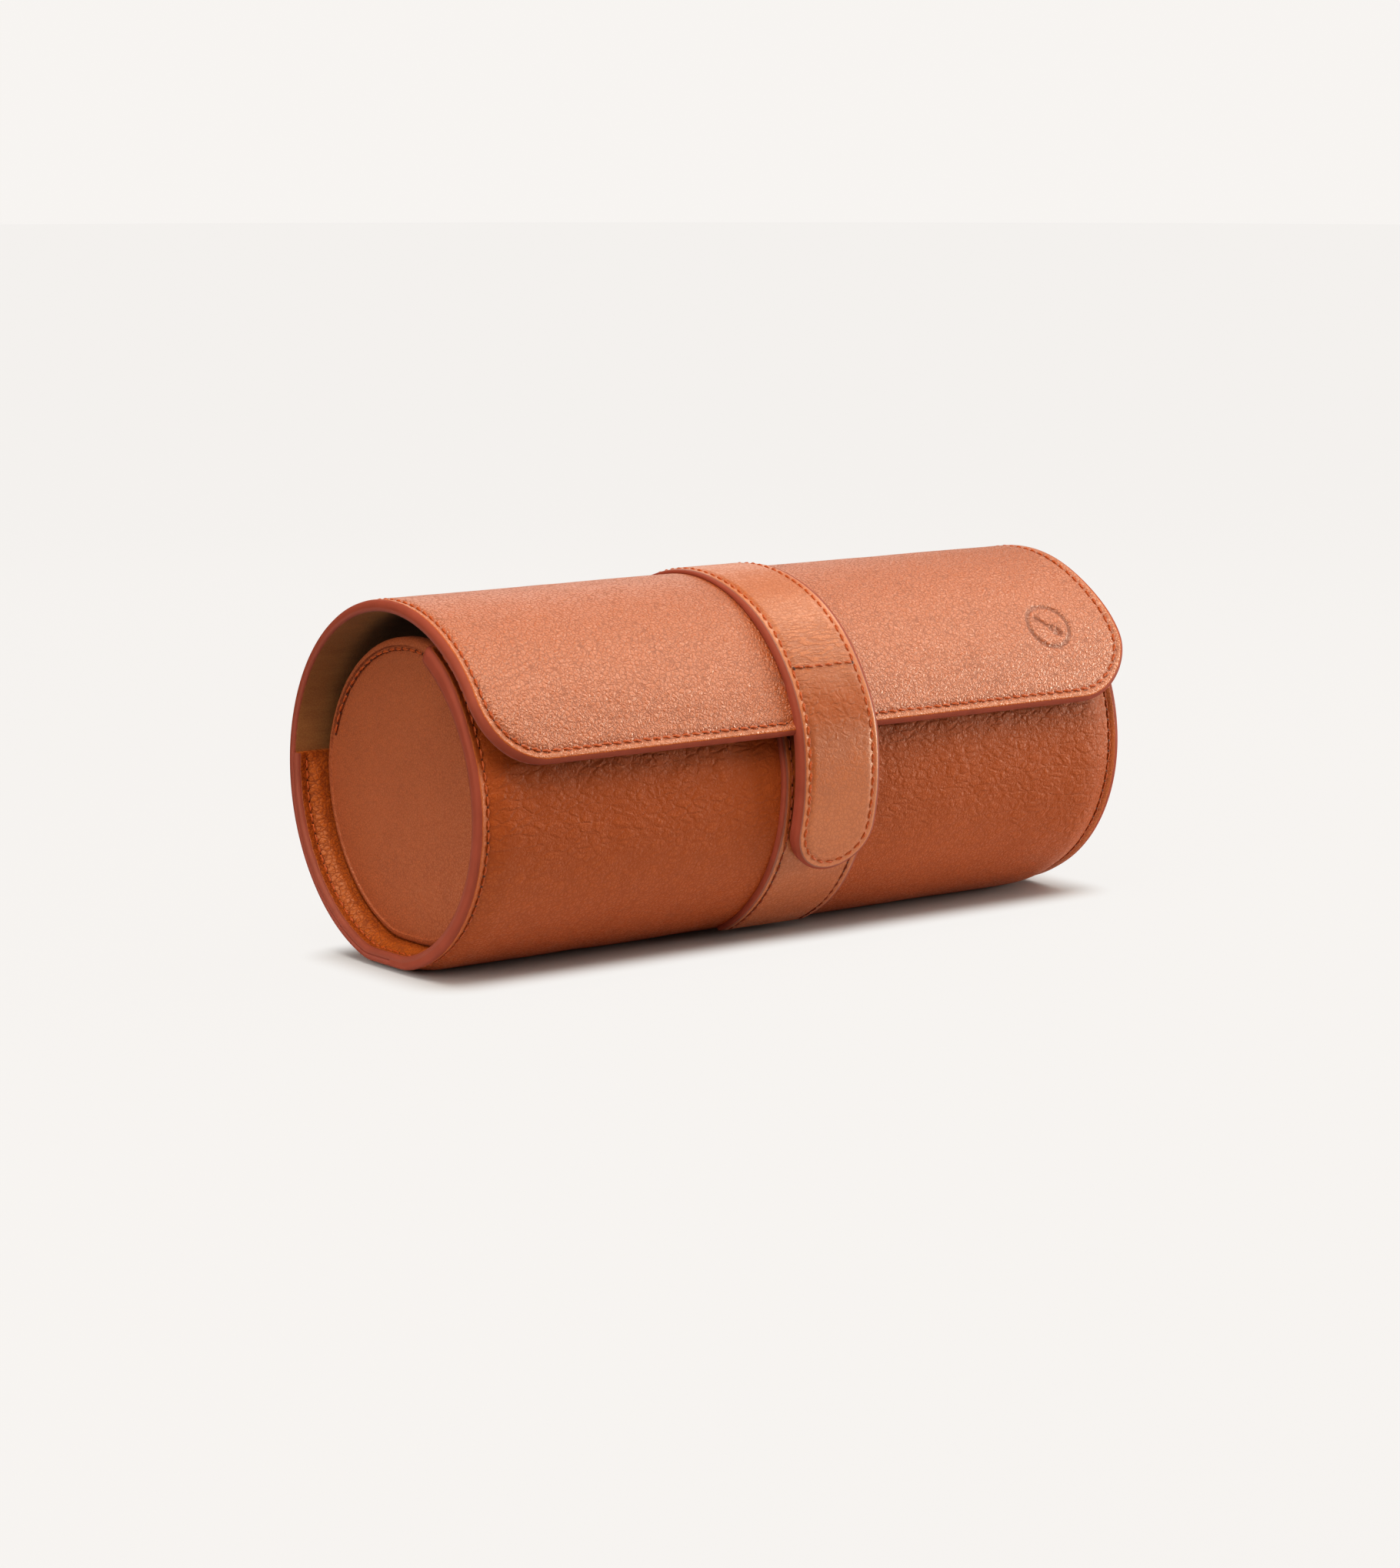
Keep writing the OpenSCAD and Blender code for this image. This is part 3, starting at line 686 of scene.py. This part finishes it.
def crackle_and_shade(x, s, rim):
    """Where the wall has crackled and painted shade darkens it: just below the flap, and further down towards
    the right end.
    """
    low = 72 + 16 * smooth(40, 95, x)
    return (0.12 + 0.88 * (1 - smooth(low - 22, low + 6, s))) * smooth(2.0, 6.0, rim)


MARK_X, MARK_A, MARK_R, MARK_DEPTH = 81.0, 141.0, 6.3, 0.40
S_MARK = OUTER.s_at(FLAP_C, MARK_A, 300)


def blind_mark(x, s, rim=None):
    """A plain ring round a plain brush, from 0 to 1."""
    u, v = x - MARK_X, s - S_MARK
    ring = 1 - smooth(0.35, 0.85, np.abs(np.hypot(u, v) - MARK_R))
    u, v = (u - v) * math.sqrt(0.5), (u + v) * math.sqrt(0.5)
    handle = (1 - smooth(0.35, 0.75, np.abs(u))) * (1 - smooth(2.1, 2.5, np.abs(v + 2.3)))
    ferrule = (1 - smooth(0.8, 1.1, np.abs(u))) * (1 - smooth(0.5, 0.8, np.abs(v - 0.9)))
    taper = 1.5 - 0.42 * np.clip(v - 2.4, 0, 3)
    tip = (1 - smooth(0.75, 1.1, np.abs(u) / taper)) * (1 - smooth(1.1, 1.5, np.abs(v - 3.2)))
    return np.maximum(np.maximum(ring, handle), np.maximum(ferrule, tip))


def flap_top(x, s, rim):
    front = smooth(S_TOP - 30, S_TOP + 10, s)
    roll = -0.2 * (1 - smooth(0.3, 2.2, rim)) * front + 0.55 * (1 - smooth(0.5, 7.0, S_END - s))
    side = HALF_L - np.abs(x)
    ends = END_LIP * (1 - smooth(0.5, 2.6, side)) - END_DIP * (1 - smooth(2.6, 9.5, side))
    waves = 0.14 * folds(x, s, 14, 7, 20, 1.4) * smooth(2, 8, rim)
    return (roll + ends * (1 - smooth(150, 205, s)) + seam_groove(rim, 0.45) + waves
            - MARK_DEPTH * blind_mark(x, s))


front_wall = sheet("front_wall", OUTER, 0, S_BOTTOM, HALF_L, 0, LEATHER_T, [wall_leather], r0=3.0,
                   edges="lra", round_top=1.4, round_bot=0.0, top=wall_top, marks={"plates": crackle_and_shade},
                   edge_mat=wall_edge)
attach(front_wall, "case")
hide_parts("outer_wrap")

SPLIT = LEATHER_T - SUEDE_T
MARK_ZONE, MARK_STEP = 8, 0.35
back_and_flap = sheet("back_and_flap", OUTER, S_BOTTOM, S_END, HALF_L, 0, SPLIT, [flap_leather],
                      r1=CORNER_R, edges="lrb", round_top=1.5, round_bot=0.0, top=flap_top,
                      marks={"mark": blind_mark}, edge_mat=flap_edge,
                      zones_x=[(MARK_X - MARK_ZONE, MARK_X + MARK_ZONE, MARK_STEP)],
                      zones_s=[(S_MARK - MARK_ZONE, S_MARK + MARK_ZONE, MARK_STEP)])
fold(back_and_flap)
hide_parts("flap_leather")

suede_face = sheet("suede_face", OUTER, S_BOTTOM, S_END, HALF_L, LEATHER_T, SPLIT, [suede], r1=CORNER_R,
                   edges="lrb", round_top=0.6, round_bot=0.0, step=2.0)
fold(suede_face)
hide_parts("flap_suede")


def over_board(x, s):
    """How far the lining is lifted by the stiffener board under it, which stops short of the rims."""
    side = HALF_L - np.abs(x)
    return BOARD_T * smooth(3.4, 6.4, side) * smooth(3.4, 6.4, s) * smooth(0.5, 6.0, S_LINING_END - s)


def lining_in(x, s, rim):
    side = HALF_L - np.abs(x)
    wrinkle = 0.14 * folds(x, s, 4.5, 21, 75, 1.8) + 0.10 * folds(x, s, 2.4, 25, 100, 1.5)
    wrinkle = wrinkle * smooth(1.5, 5, side) * smooth(0, 3, S_LINING_END - s)
    return over_board(x, s) + wrinkle + seam_groove(side, 0.35)


def lining_out(x, s, rim):
    return -over_board(x, s)


trough_lining = sheet("trough_lining", OUTER, 0, S_LINING_END, HALF_L, LEATHER_T + LINING_T, LEATHER_T,
                      [lining_leather], r0=3.0, edges="lra", round_top=1.0, round_bot=0.0, top=lining_in,
                      low=lining_out)
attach(trough_lining, "case")
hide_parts("wrap_lining")


# ---------------------------------------------------------------- end panels
PANEL_N, PANEL_UV = 256, 300
BLUR_N, BLUR_W = 8, 3.0
COVER_EDGE_R, INNER_EDGE_R = 1.9, 0.6
# Rings of a panel's face as shares of its radius, closer together near the edge
PANEL_RINGS = np.r_[np.linspace(0.02, 0.86, 34), np.linspace(0.88, 0.995, 14)]


def panel_outline():
    """Radius of the end panel about its centre, in PANEL_N directions."""
    a = np.linspace(0, 2 * np.pi, PANEL_N, endpoint=False)
    d = np.stack([np.cos(a), np.sin(a)], 1)
    c0 = np.array(PANEL_C)

    def to_circle(c, r):
        o = c0 - np.array(c)
        b = d @ o
        return -b + np.sqrt(b * b - (o @ o) + r * r)

    back = to_circle((0, 0), WRAP_R - PUFF_D)
    front = np.where(d[:, 1] > 0, to_circle(LIP_C, LIP_R - PUFF_D), to_circle(FRONT_C, FRONT_R - PUFF_D))
    wall = np.where(d[:, 0] > 0, back, front)
    floor = np.where(d[:, 1] < -0.2, (c0[1] + AXIS_Z - PUFF_D) / np.maximum(-d[:, 1], 1e-3), FAR)
    rad = np.minimum(np.minimum(wall, PANEL_R), floor)
    k = np.exp(-0.5 * (np.arange(-BLUR_N, BLUR_N + 1) / BLUR_W) ** 2)
    k /= k.sum()
    return a, np.convolve(np.r_[rad[-BLUR_N:], rad, rad[:BLUR_N]], k, "valid")


def about_panel(r, a):
    """Section coordinates at radius r and angle a about the panel's centre."""
    return PANEL_C[0] + r * np.cos(a), PANEL_C[1] + r * np.sin(a)


def panel_seam():
    return np.stack(about_panel(PANEL_SEAM_R, np.radians(np.linspace(18, 128, 80))), 1)


def panel(name, side, x_face, thick, mats, inward=False):
    """A padded disc: its face at x_face, its edge turned over and back."""
    a, rad = panel_outline()
    edge_r = INNER_EDGE_R if inward else COVER_EDGE_R
    out = -1 if inward else 1
    sewn = smooth(10, 24, np.degrees(a)) * (1 - smooth(126, 140, np.degrees(a)))
    rings = []
    for t in PANEL_RINGS:
        r = (rad - edge_r) * t
        h = 0.5 * (1 - t ** 4) - 0.5 + 0.18 * folds(*about_panel(r, a), 13, 31 + side) * (1 - t ** 6)
        if not inward:
            h = h - 0.38 * bump(r, PANEL_SEAM_R, 0.9) * sewn
        rings.append((r, h))
    for q in np.radians(np.linspace(0, 90, 7)):
        rings.append((rad - edge_r + edge_r * math.sin(q), np.full_like(a, -edge_r * (1 - math.cos(q)))))
    rings.append((rad, np.full_like(a, -thick * 0.7)))
    rings.append((rad, np.full_like(a, -thick)))
    rings.append((rad - 2.0, np.full_like(a, -thick)))
    verts, uv = [], []
    for r, h in rings:
        y, z = about_panel(r, a)
        verts.append(np.stack([side * (x_face + out * h), y, z + AXIS_Z], 1) * MM)
        uv.append(np.stack([y + side * PANEL_UV, z - h], 1))
    hub = [side * (x_face + out * rings[0][1].mean()), PANEL_C[0], PANEL_C[1] + AXIS_Z]
    verts.append(np.array([hub]) * MM)
    uv.append(np.array([[PANEL_C[0] + side * PANEL_UV, PANEL_C[1]]]))
    n, k = len(a), len(rings)
    idx = np.arange(n * k).reshape(k, n)
    nxt = np.roll(idx, -1, axis=1)
    faces = np.stack([idx[:-1], nxt[:-1], nxt[1:], idx[1:]], -1).reshape(-1, 4)
    fan = np.stack([np.full(n // 2, n * k), idx[0, 0::2], idx[0, 1::2], np.roll(idx[0, 0::2], -1)], 1)
    faces = np.concatenate([faces, fan])
    if (side < 0) != inward:
        faces = faces[:, ::-1]
    return mesh_object(name, np.concatenate(verts), faces, mats, uv=np.concatenate(uv) * UV_SCALE)


def on_panel(side):
    def place(y, z, h):
        return np.stack([side * (PANEL_X + h), y, z + AXIS_Z], -1) * MM
    return place


for word, side in (("left", -1), ("right", 1)):
    cover = panel(word + "_panel_cover", side, PANEL_X, PANEL_T - 0.8, [panel_leather])
    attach(cover, "case")
    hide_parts(word + "_end_cover", word + "_end_binding")
    inner = panel(word + "_panel_lining", side, PANEL_X - PANEL_T, 0.9, [lining_leather], inward=True)
    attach(inner, "case")
    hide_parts(word + "_end_lining")
    row = seam_line([panel_seam()], on_panel(side), -0.35, word + "_panel_stitches", [thread, hole],
                    thick=0.42, lift=0.15, slant=0.15, seed=5 + side)
    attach(row, "case")
    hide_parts(word + "_end_stitching")


# ---------------------------------------------------------------- straps
S_CROSS = STRAP.s_at(FLAP_C, 149, 95)
S_BEND = STRAP.s_at(FLAP_C, 166, 120)


def strap_thick(s):
    return TAB_T * smooth(S_CROSS, S_BEND + 4, s) + STRAP_T * (1 - smooth(S_CROSS, S_BEND + 4, s))


def strap_sink(s):
    """Over the top and back the strap is drawn down into the flap."""
    return -1.0 * (1 - smooth(72, 100, s))


def strap_top(x, s, rim):
    pillow = -0.5 * (1 - smooth(0.2, 2.4, rim))
    lines = 0.12 * folds(x, s, 2.4, 41, 0, 3.2) * (bump(s, S_CROSS - 4, 9) + 0.3)
    bends = 0.30 * folds(x, s, 4.2, 47, 8, 1.5) * bump(s, S_BEND - 6, 9)
    groove = seam_groove(rim, 0.4, 0.8, STRAP_SEAM)
    return strap_sink(s) + pillow + groove + (lines + bends) * smooth(2.5, 4.5, rim)


def crease_zone(x, s, rim):
    return (0.08 + 0.92 * bump(s, S_CROSS - 5, 11)) * smooth(2.0, 3.8, rim)


# Where the strap crackles at its bend, and where painted shade darkens its colour
def plate_and_shade_zone(x, s, rim):
    return (0.05 + 0.95 * bump(s, S_BEND - 4, 8)) * smooth(2.0, 3.8, rim)


def strap_low(x, s, rim):
    return strap_thick(s) - STRAP_T


TIP_R = STRAP_HALF - 0.01
closing_strap = sheet("closing_strap", STRAP, 0, STRAP.length, STRAP_HALF, 0, STRAP_T, [strap_leather],
                      r0=TIP_R, r1=TIP_R, step=0.8, round_top=0.9, round_bot=0.5, top=strap_top,
                      low=strap_low, marks={"crease": crease_zone, "plates": plate_and_shade_zone},
                      edge_mat=strap_edge)
CROSS_SPAN = (146.0, 153.5)


def at_cross(a):
    """A point of the flap under the strap, in metres."""
    y, z = FLAP_R * math.cos(math.radians(a)), FLAP_R * math.sin(math.radians(a))
    return (0, (FLAP_C[0] + y) * MM, (AXIS_Z + FLAP_C[1] + z) * MM)


def lift(obj):
    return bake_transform(obj, "flap", "tab", start=at_cross(CROSS_SPAN[0]), end=at_cross(CROSS_SPAN[1]))


lift(closing_strap)
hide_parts("flap_strap", "tab_leather", "tab_lining")


def mid_sheet(x):
    """A distance from the cut edge at which the edge has no say."""
    return np.full_like(x, 30.0)


def landing_top(x, s, rim):
    pillow = -0.3 * (1 - smooth(0.2, 1.8, rim))
    return pillow + seam_groove(rim, 0.25, 0.8, STRAP_SEAM) + wall_top(x, s, mid_sheet(x))


S_LAND0 = OUTER.s_at(LIP_C, 150, 20)
S_LAND1 = OUTER.s_at(FRONT_C, 248, 100)
# Its plates value of 0.15 also darkens the whole landing strap a little with painted shade
landing = sheet("landing_strap_look", OUTER, S_LAND0, S_LAND1, LANDING_HALF, -LANDING_T, 0.3,
                [strap_leather], edges="lrab", round_top=0.7, round_bot=0.0, step=1.0, top=landing_top,
                x_mid=LANDING_X, edge_mat=strap_edge,
                marks={"crease": lambda x, s, rim: 0 * x + 0.1, "plates": lambda x, s, rim: 0 * x + 0.15})
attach(landing, "case")
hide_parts("landing_strap")


# ---------------------------------------------------------------- seams
def rounded_line(half_w, s0, s1, inset, r):
    """Flat line down one side to s1 and round its corner, inset from the cut edge, and its mirror image."""
    w, q = half_w - inset, max(r - inset, 0.1)
    a = np.radians(np.linspace(0, 90, 24))
    side = np.linspace(s0, s1 - inset - q, 200)
    right = np.stack([np.full(200, w), side], 1)
    corner = np.stack([w - q + q * np.cos(a), s1 - inset - q + q * np.sin(a)], 1)
    half = np.concatenate([right, corner[1:]])
    return half, half * [-1, 1]


def straight_line(x, s0, s1, n=60):
    """Flat line at one x, from s0 to s1."""
    return np.stack([np.full(n, x), np.linspace(s0, s1, n)], 1)


def on_flap(x, s, h):
    return OUTER.place(x, s, h + flap_top(x, s, mid_sheet(x)) * 0.95)


def on_wall(x, s, h):
    return OUTER.place(x, s, h + wall_top(x, s, mid_sheet(x)))


def on_inside(x, s, h):
    return OUTER.place(x, s, -(LEATHER_T + LINING_T) - h)


def on_strap(x, s, h):
    return STRAP.place(x, s, h + strap_sink(s) - 0.05)


def on_landing(x, s, h):
    return OUTER.place(x + LANDING_X, s, h + LANDING_T)


right, left = rounded_line(HALF_L, S_BOTTOM + 1, S_END, SEAM, CORNER_R)
gap = STRAP_HALF + 1.0
edge_row = np.array([[gap, right[-1][1]]])
flap_rows = [np.concatenate([right, edge_row]), np.concatenate([left, edge_row * [-1, 1]])]
flap_row = seam_line(flap_rows, on_flap, -0.42, "flap_stitches", [thread, hole], seed=11)
fold(flap_row)
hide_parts("flap_stitching")

for word, sx in (("left", -1), ("right", 1)):
    rim_x = sx * (HALF_L - SEAM)
    rim_row = seam_line([straight_line(rim_x, SEAM + 1.5, S_BOTTOM - 1)], on_wall, -0.35,
                        word + "_rim_stitches", [thread, hole], thick=0.38, lift=0.2, slant=0.15,
                        seed=17 + sx)
    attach(rim_row, "case")
    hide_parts(word + "_rim_stitching")
    inner_row = seam_line([straight_line(rim_x, SEAM + 1.5, S_LINING_END - 2)], on_inside, -0.3,
                          word + "_inner_rim_stitches", [thread, hole], thick=0.38, lift=0.12, slant=0.1,
                          seed=23 + sx)
    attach(inner_row, "case")

lip_line = straight_line(SEAM, -HALF_L + SEAM + 3, HALF_L - SEAM - 3)[:, ::-1]
lip_row = seam_line([lip_line], OUTER.place, -0.3, "lip_stitches", [thread, hole], thick=0.38, lift=0.2,
                    slant=0.15, seed=29)
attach(lip_row, "case")
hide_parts("lip_stitching")

strap_right, strap_left = rounded_line(STRAP_HALF, STRAP.length / 2, STRAP.length, STRAP_SEAM, STRAP_HALF)
tip = np.concatenate([strap_right, strap_left[::-1][1:]])
back_tip = np.stack([tip[:, 0], STRAP.length - tip[:, 1]], 1)
whole = np.concatenate([tip, back_tip[::-1][1:]])
strap_row = seam_line([whole], on_strap, -0.40, "strap_stitches", [thread, hole], lift=0.22, seed=31)
lift(strap_row)
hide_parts("strap_stitching", "tab_stitching")

cross_half = STRAP_HALF - STRAP_SEAM - 0.5
cross_line = np.array([[-cross_half, S_CROSS - 1.2], [cross_half, S_CROSS - 1.2]])
cross_row = seam_line([cross_line], STRAP.place, -0.05, "cross_stitches", [thread, hole], seed=37)
lift(cross_row)
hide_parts("cross_stitching")

land_lines = [straight_line(sx * (LANDING_HALF - STRAP_SEAM), S_LAND0 + 3, S_LAND1 - 1, 50) for sx in (-1, 1)]
land_row = seam_line(land_lines, on_landing, -0.2, "landing_stitches", [thread_dark, hole], thick=0.34,
                     lift=0.12, slant=0.08, seed=41)
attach(land_row, "case")
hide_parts("landing_stitching")


# ---------------------------------------------------------------- floor, light and camera
BACKDROP = (0.782, 0.762, 0.742)


def stage_object(name, verts, faces, mat):
    mesh = bpy.data.meshes.new(name)
    mesh.from_pydata(verts, [], faces)
    mesh.materials.append(mat)
    obj = bpy.data.objects.new(name, mesh)
    bpy.context.scene.collection.objects.link(obj)
    return obj


# The floor is shaded within this distance of the case, in metres, and plain backdrop beyond it
SHADE_HALF_X, SHADE_HALF_Y, SHADE_FADE = HALF_L * 0.95 * MM, 0.02, 0.017


def floor_look():
    """Backdrop everywhere, except close to the case, where the floor takes its shadow."""
    mat = bpy.data.materials.new("floor_look")
    mat.use_nodes = True
    t = mat.node_tree
    t.nodes.clear()
    out = t.nodes.new("ShaderNodeOutputMaterial")
    mix = t.nodes.new("ShaderNodeMixShader")
    paper = t.nodes.new("ShaderNodeBsdfDiffuse")
    plain = t.nodes.new("ShaderNodeEmission")
    geo = t.nodes.new("ShaderNodeNewGeometry")
    fade = t.nodes.new("ShaderNodeMapRange")
    fade.interpolation_type = "SMOOTHSTEP"
    fade.inputs[1].default_value = 0.0
    fade.inputs[2].default_value = SHADE_FADE
    fade.inputs[4].default_value = 0.97
    steps = []
    before = geo.outputs["Position"]
    for operation in ("ABSOLUTE", "SUBTRACT", "MAXIMUM", "LENGTH"):
        step = t.nodes.new("ShaderNodeVectorMath")
        step.operation = operation
        t.links.new(before, step.inputs[0])
        before = step.outputs[0]
        steps.append(step)
    steps[1].inputs[1].default_value = (SHADE_HALF_X, SHADE_HALF_Y, 0)
    steps[2].inputs[1].default_value = (0, 0, 0)
    paper.inputs[0].default_value = (0.50, 0.485, 0.47, 1)
    plain.inputs[0].default_value = (*BACKDROP, 1)
    t.links.new(steps[3].outputs["Value"], fade.inputs[0])
    t.links.new(fade.outputs[0], mix.inputs[0])
    t.links.new(paper.outputs[0], mix.inputs[1])
    t.links.new(plain.outputs[0], mix.inputs[2])
    t.links.new(mix.outputs[0], out.inputs[0])
    return mat


def sheet_look():
    """The white sheet round the case, as the case itself sees it."""
    mat = bpy.data.materials.new("bounce_look")
    mat.use_nodes = True
    shader = mat.node_tree.nodes["Principled BSDF"]
    shader.inputs["Base Color"].default_value = (0.72, 0.70, 0.68, 1)
    shader.inputs["Roughness"].default_value = 1.0
    return mat


def dome_look():
    mat = bpy.data.materials.new("backdrop_look")
    mat.use_nodes = True
    t = mat.node_tree
    t.nodes.clear()
    out = t.nodes.new("ShaderNodeOutputMaterial")
    emi = t.nodes.new("ShaderNodeEmission")
    emi.inputs[0].default_value = (*BACKDROP, 1)
    t.links.new(emi.outputs[0], out.inputs[0])
    return mat


# Radii of the floor and of the sheet that lights the case from below, and heights of the backdrop, in metres
FLOOR_R, BOUNCE_R = 6.0, 0.19
DOME_LOW, DOME_HIGH, DOME_TOP = -3.0, 5.0, 6.0
RING_N = 64
NEXT = [(i, (i + 1) % RING_N) for i in range(RING_N)]


def ring(radius, z):
    turn = [2 * math.pi * i / RING_N for i in range(RING_N)]
    return [(radius * math.cos(a), radius * math.sin(a), z) for a in turn]


def disc(name, radius, z, mat):
    return stage_object(name, [(0, 0, z)] + ring(radius, z), [(0, 1 + i, 1 + j) for i, j in NEXT], mat)


floor = disc("floor", FLOOR_R, -2e-5, floor_look())
floor.visible_diffuse = floor.visible_glossy = floor.visible_shadow = False
bounce = disc("floor_bounce", BOUNCE_R, -1e-4, sheet_look())
bounce.visible_camera = False
dome_sides = [(i, j, RING_N + j, RING_N + i) for i, j in NEXT]
dome_roof = [(RING_N + i, RING_N + j, 2 * RING_N) for i, j in NEXT]
dome = stage_object("backdrop", ring(FLOOR_R, DOME_LOW) + ring(FLOOR_R, DOME_HIGH) + [(0, 0, DOME_TOP)],
                    dome_sides + dome_roof, dome_look())
dome.visible_diffuse = dome.visible_glossy = dome.visible_shadow = dome.visible_transmission = False

world = bpy.data.worlds.new("studio")
bpy.context.scene.world = world
world.use_nodes = True
world.node_tree.nodes["Background"].inputs[0].default_value = (1.0, 0.985, 0.97, 1)
world.node_tree.nodes["Background"].inputs[1].default_value = 0.05


def softbox(name, at, target, size, power, color=(1, 0.975, 0.93)):
    light = bpy.data.lights.new(name, "AREA")
    light.shape = "RECTANGLE"
    light.size, light.size_y = size
    light.energy = power
    light.color = color
    obj = bpy.data.objects.new(name, light)
    bpy.context.scene.collection.objects.link(obj)
    obj.location = at
    obj.rotation_euler = (Vector(target) - Vector(at)).to_track_quat("-Z", "Y").to_euler()
    obj.visible_camera = False
    return obj


# Softboxes round the case: direction from the right and height above the floor, in degrees, and power
BOX_DIST, BOX_SIZE, BOX_TARGET = 0.9, (0.5, 0.5), (0, 0, 0.04)
for name, az, el, power in (("right_high", 4, 50, 2.8), ("right_low", 350, 22, 0.64), ("left", 192, 22, 4.0),
                            ("front", 299, 45, 1.92), ("overhead", 224, 65, 5.76), ("back", 62, 30, 1.36)):
    a, e = math.radians(az), math.radians(el)
    way = Vector((math.cos(e) * math.cos(a), math.cos(e) * math.sin(a), math.sin(e)))
    softbox(name, way * BOX_DIST, BOX_TARGET, BOX_SIZE, power)

softbox("fill_right", (0.58, -0.25, 0.08), (0.08, 0, 0.04), (0.3, 0.2), 2.4)

# The camera stands where the picture was taken from: turned 37 degrees to the left, 9.5 above the horizon.
CAM_AZ, CAM_EL = -0.6458, 0.1661
CAM_DIST, CAM_RIGHT, CAM_UP = 22.8763 * WRAP_R, -0.1275 * WRAP_R, -0.1899 * WRAP_R
SENSOR_MM, LENS_MM = 36.0, 94.47774
back_v = Vector((math.sin(CAM_AZ) * math.cos(CAM_EL), -math.cos(CAM_AZ) * math.cos(CAM_EL), math.sin(CAM_EL)))
right_v = Vector((math.cos(CAM_AZ), math.sin(CAM_AZ), 0))
up_v = back_v.cross(right_v)
cam_data = bpy.data.cameras.new("camera")
cam_data.sensor_width = SENSOR_MM
cam_data.lens = LENS_MM
cam_data.clip_start, cam_data.clip_end = 0.05, 30
cam = bpy.data.objects.new("camera", cam_data)
scene = bpy.context.scene
scene.collection.objects.link(cam)
centre = Vector((0, 0, AXIS_Z))
cam.location = (centre + back_v * CAM_DIST + right_v * CAM_RIGHT + up_v * CAM_UP) * MM
cam.rotation_euler = Matrix((right_v, up_v, back_v)).transposed().to_euler()
scene.camera = cam
scene.view_settings.view_transform = "Standard"
scene.view_settings.look = "Medium High Contrast"
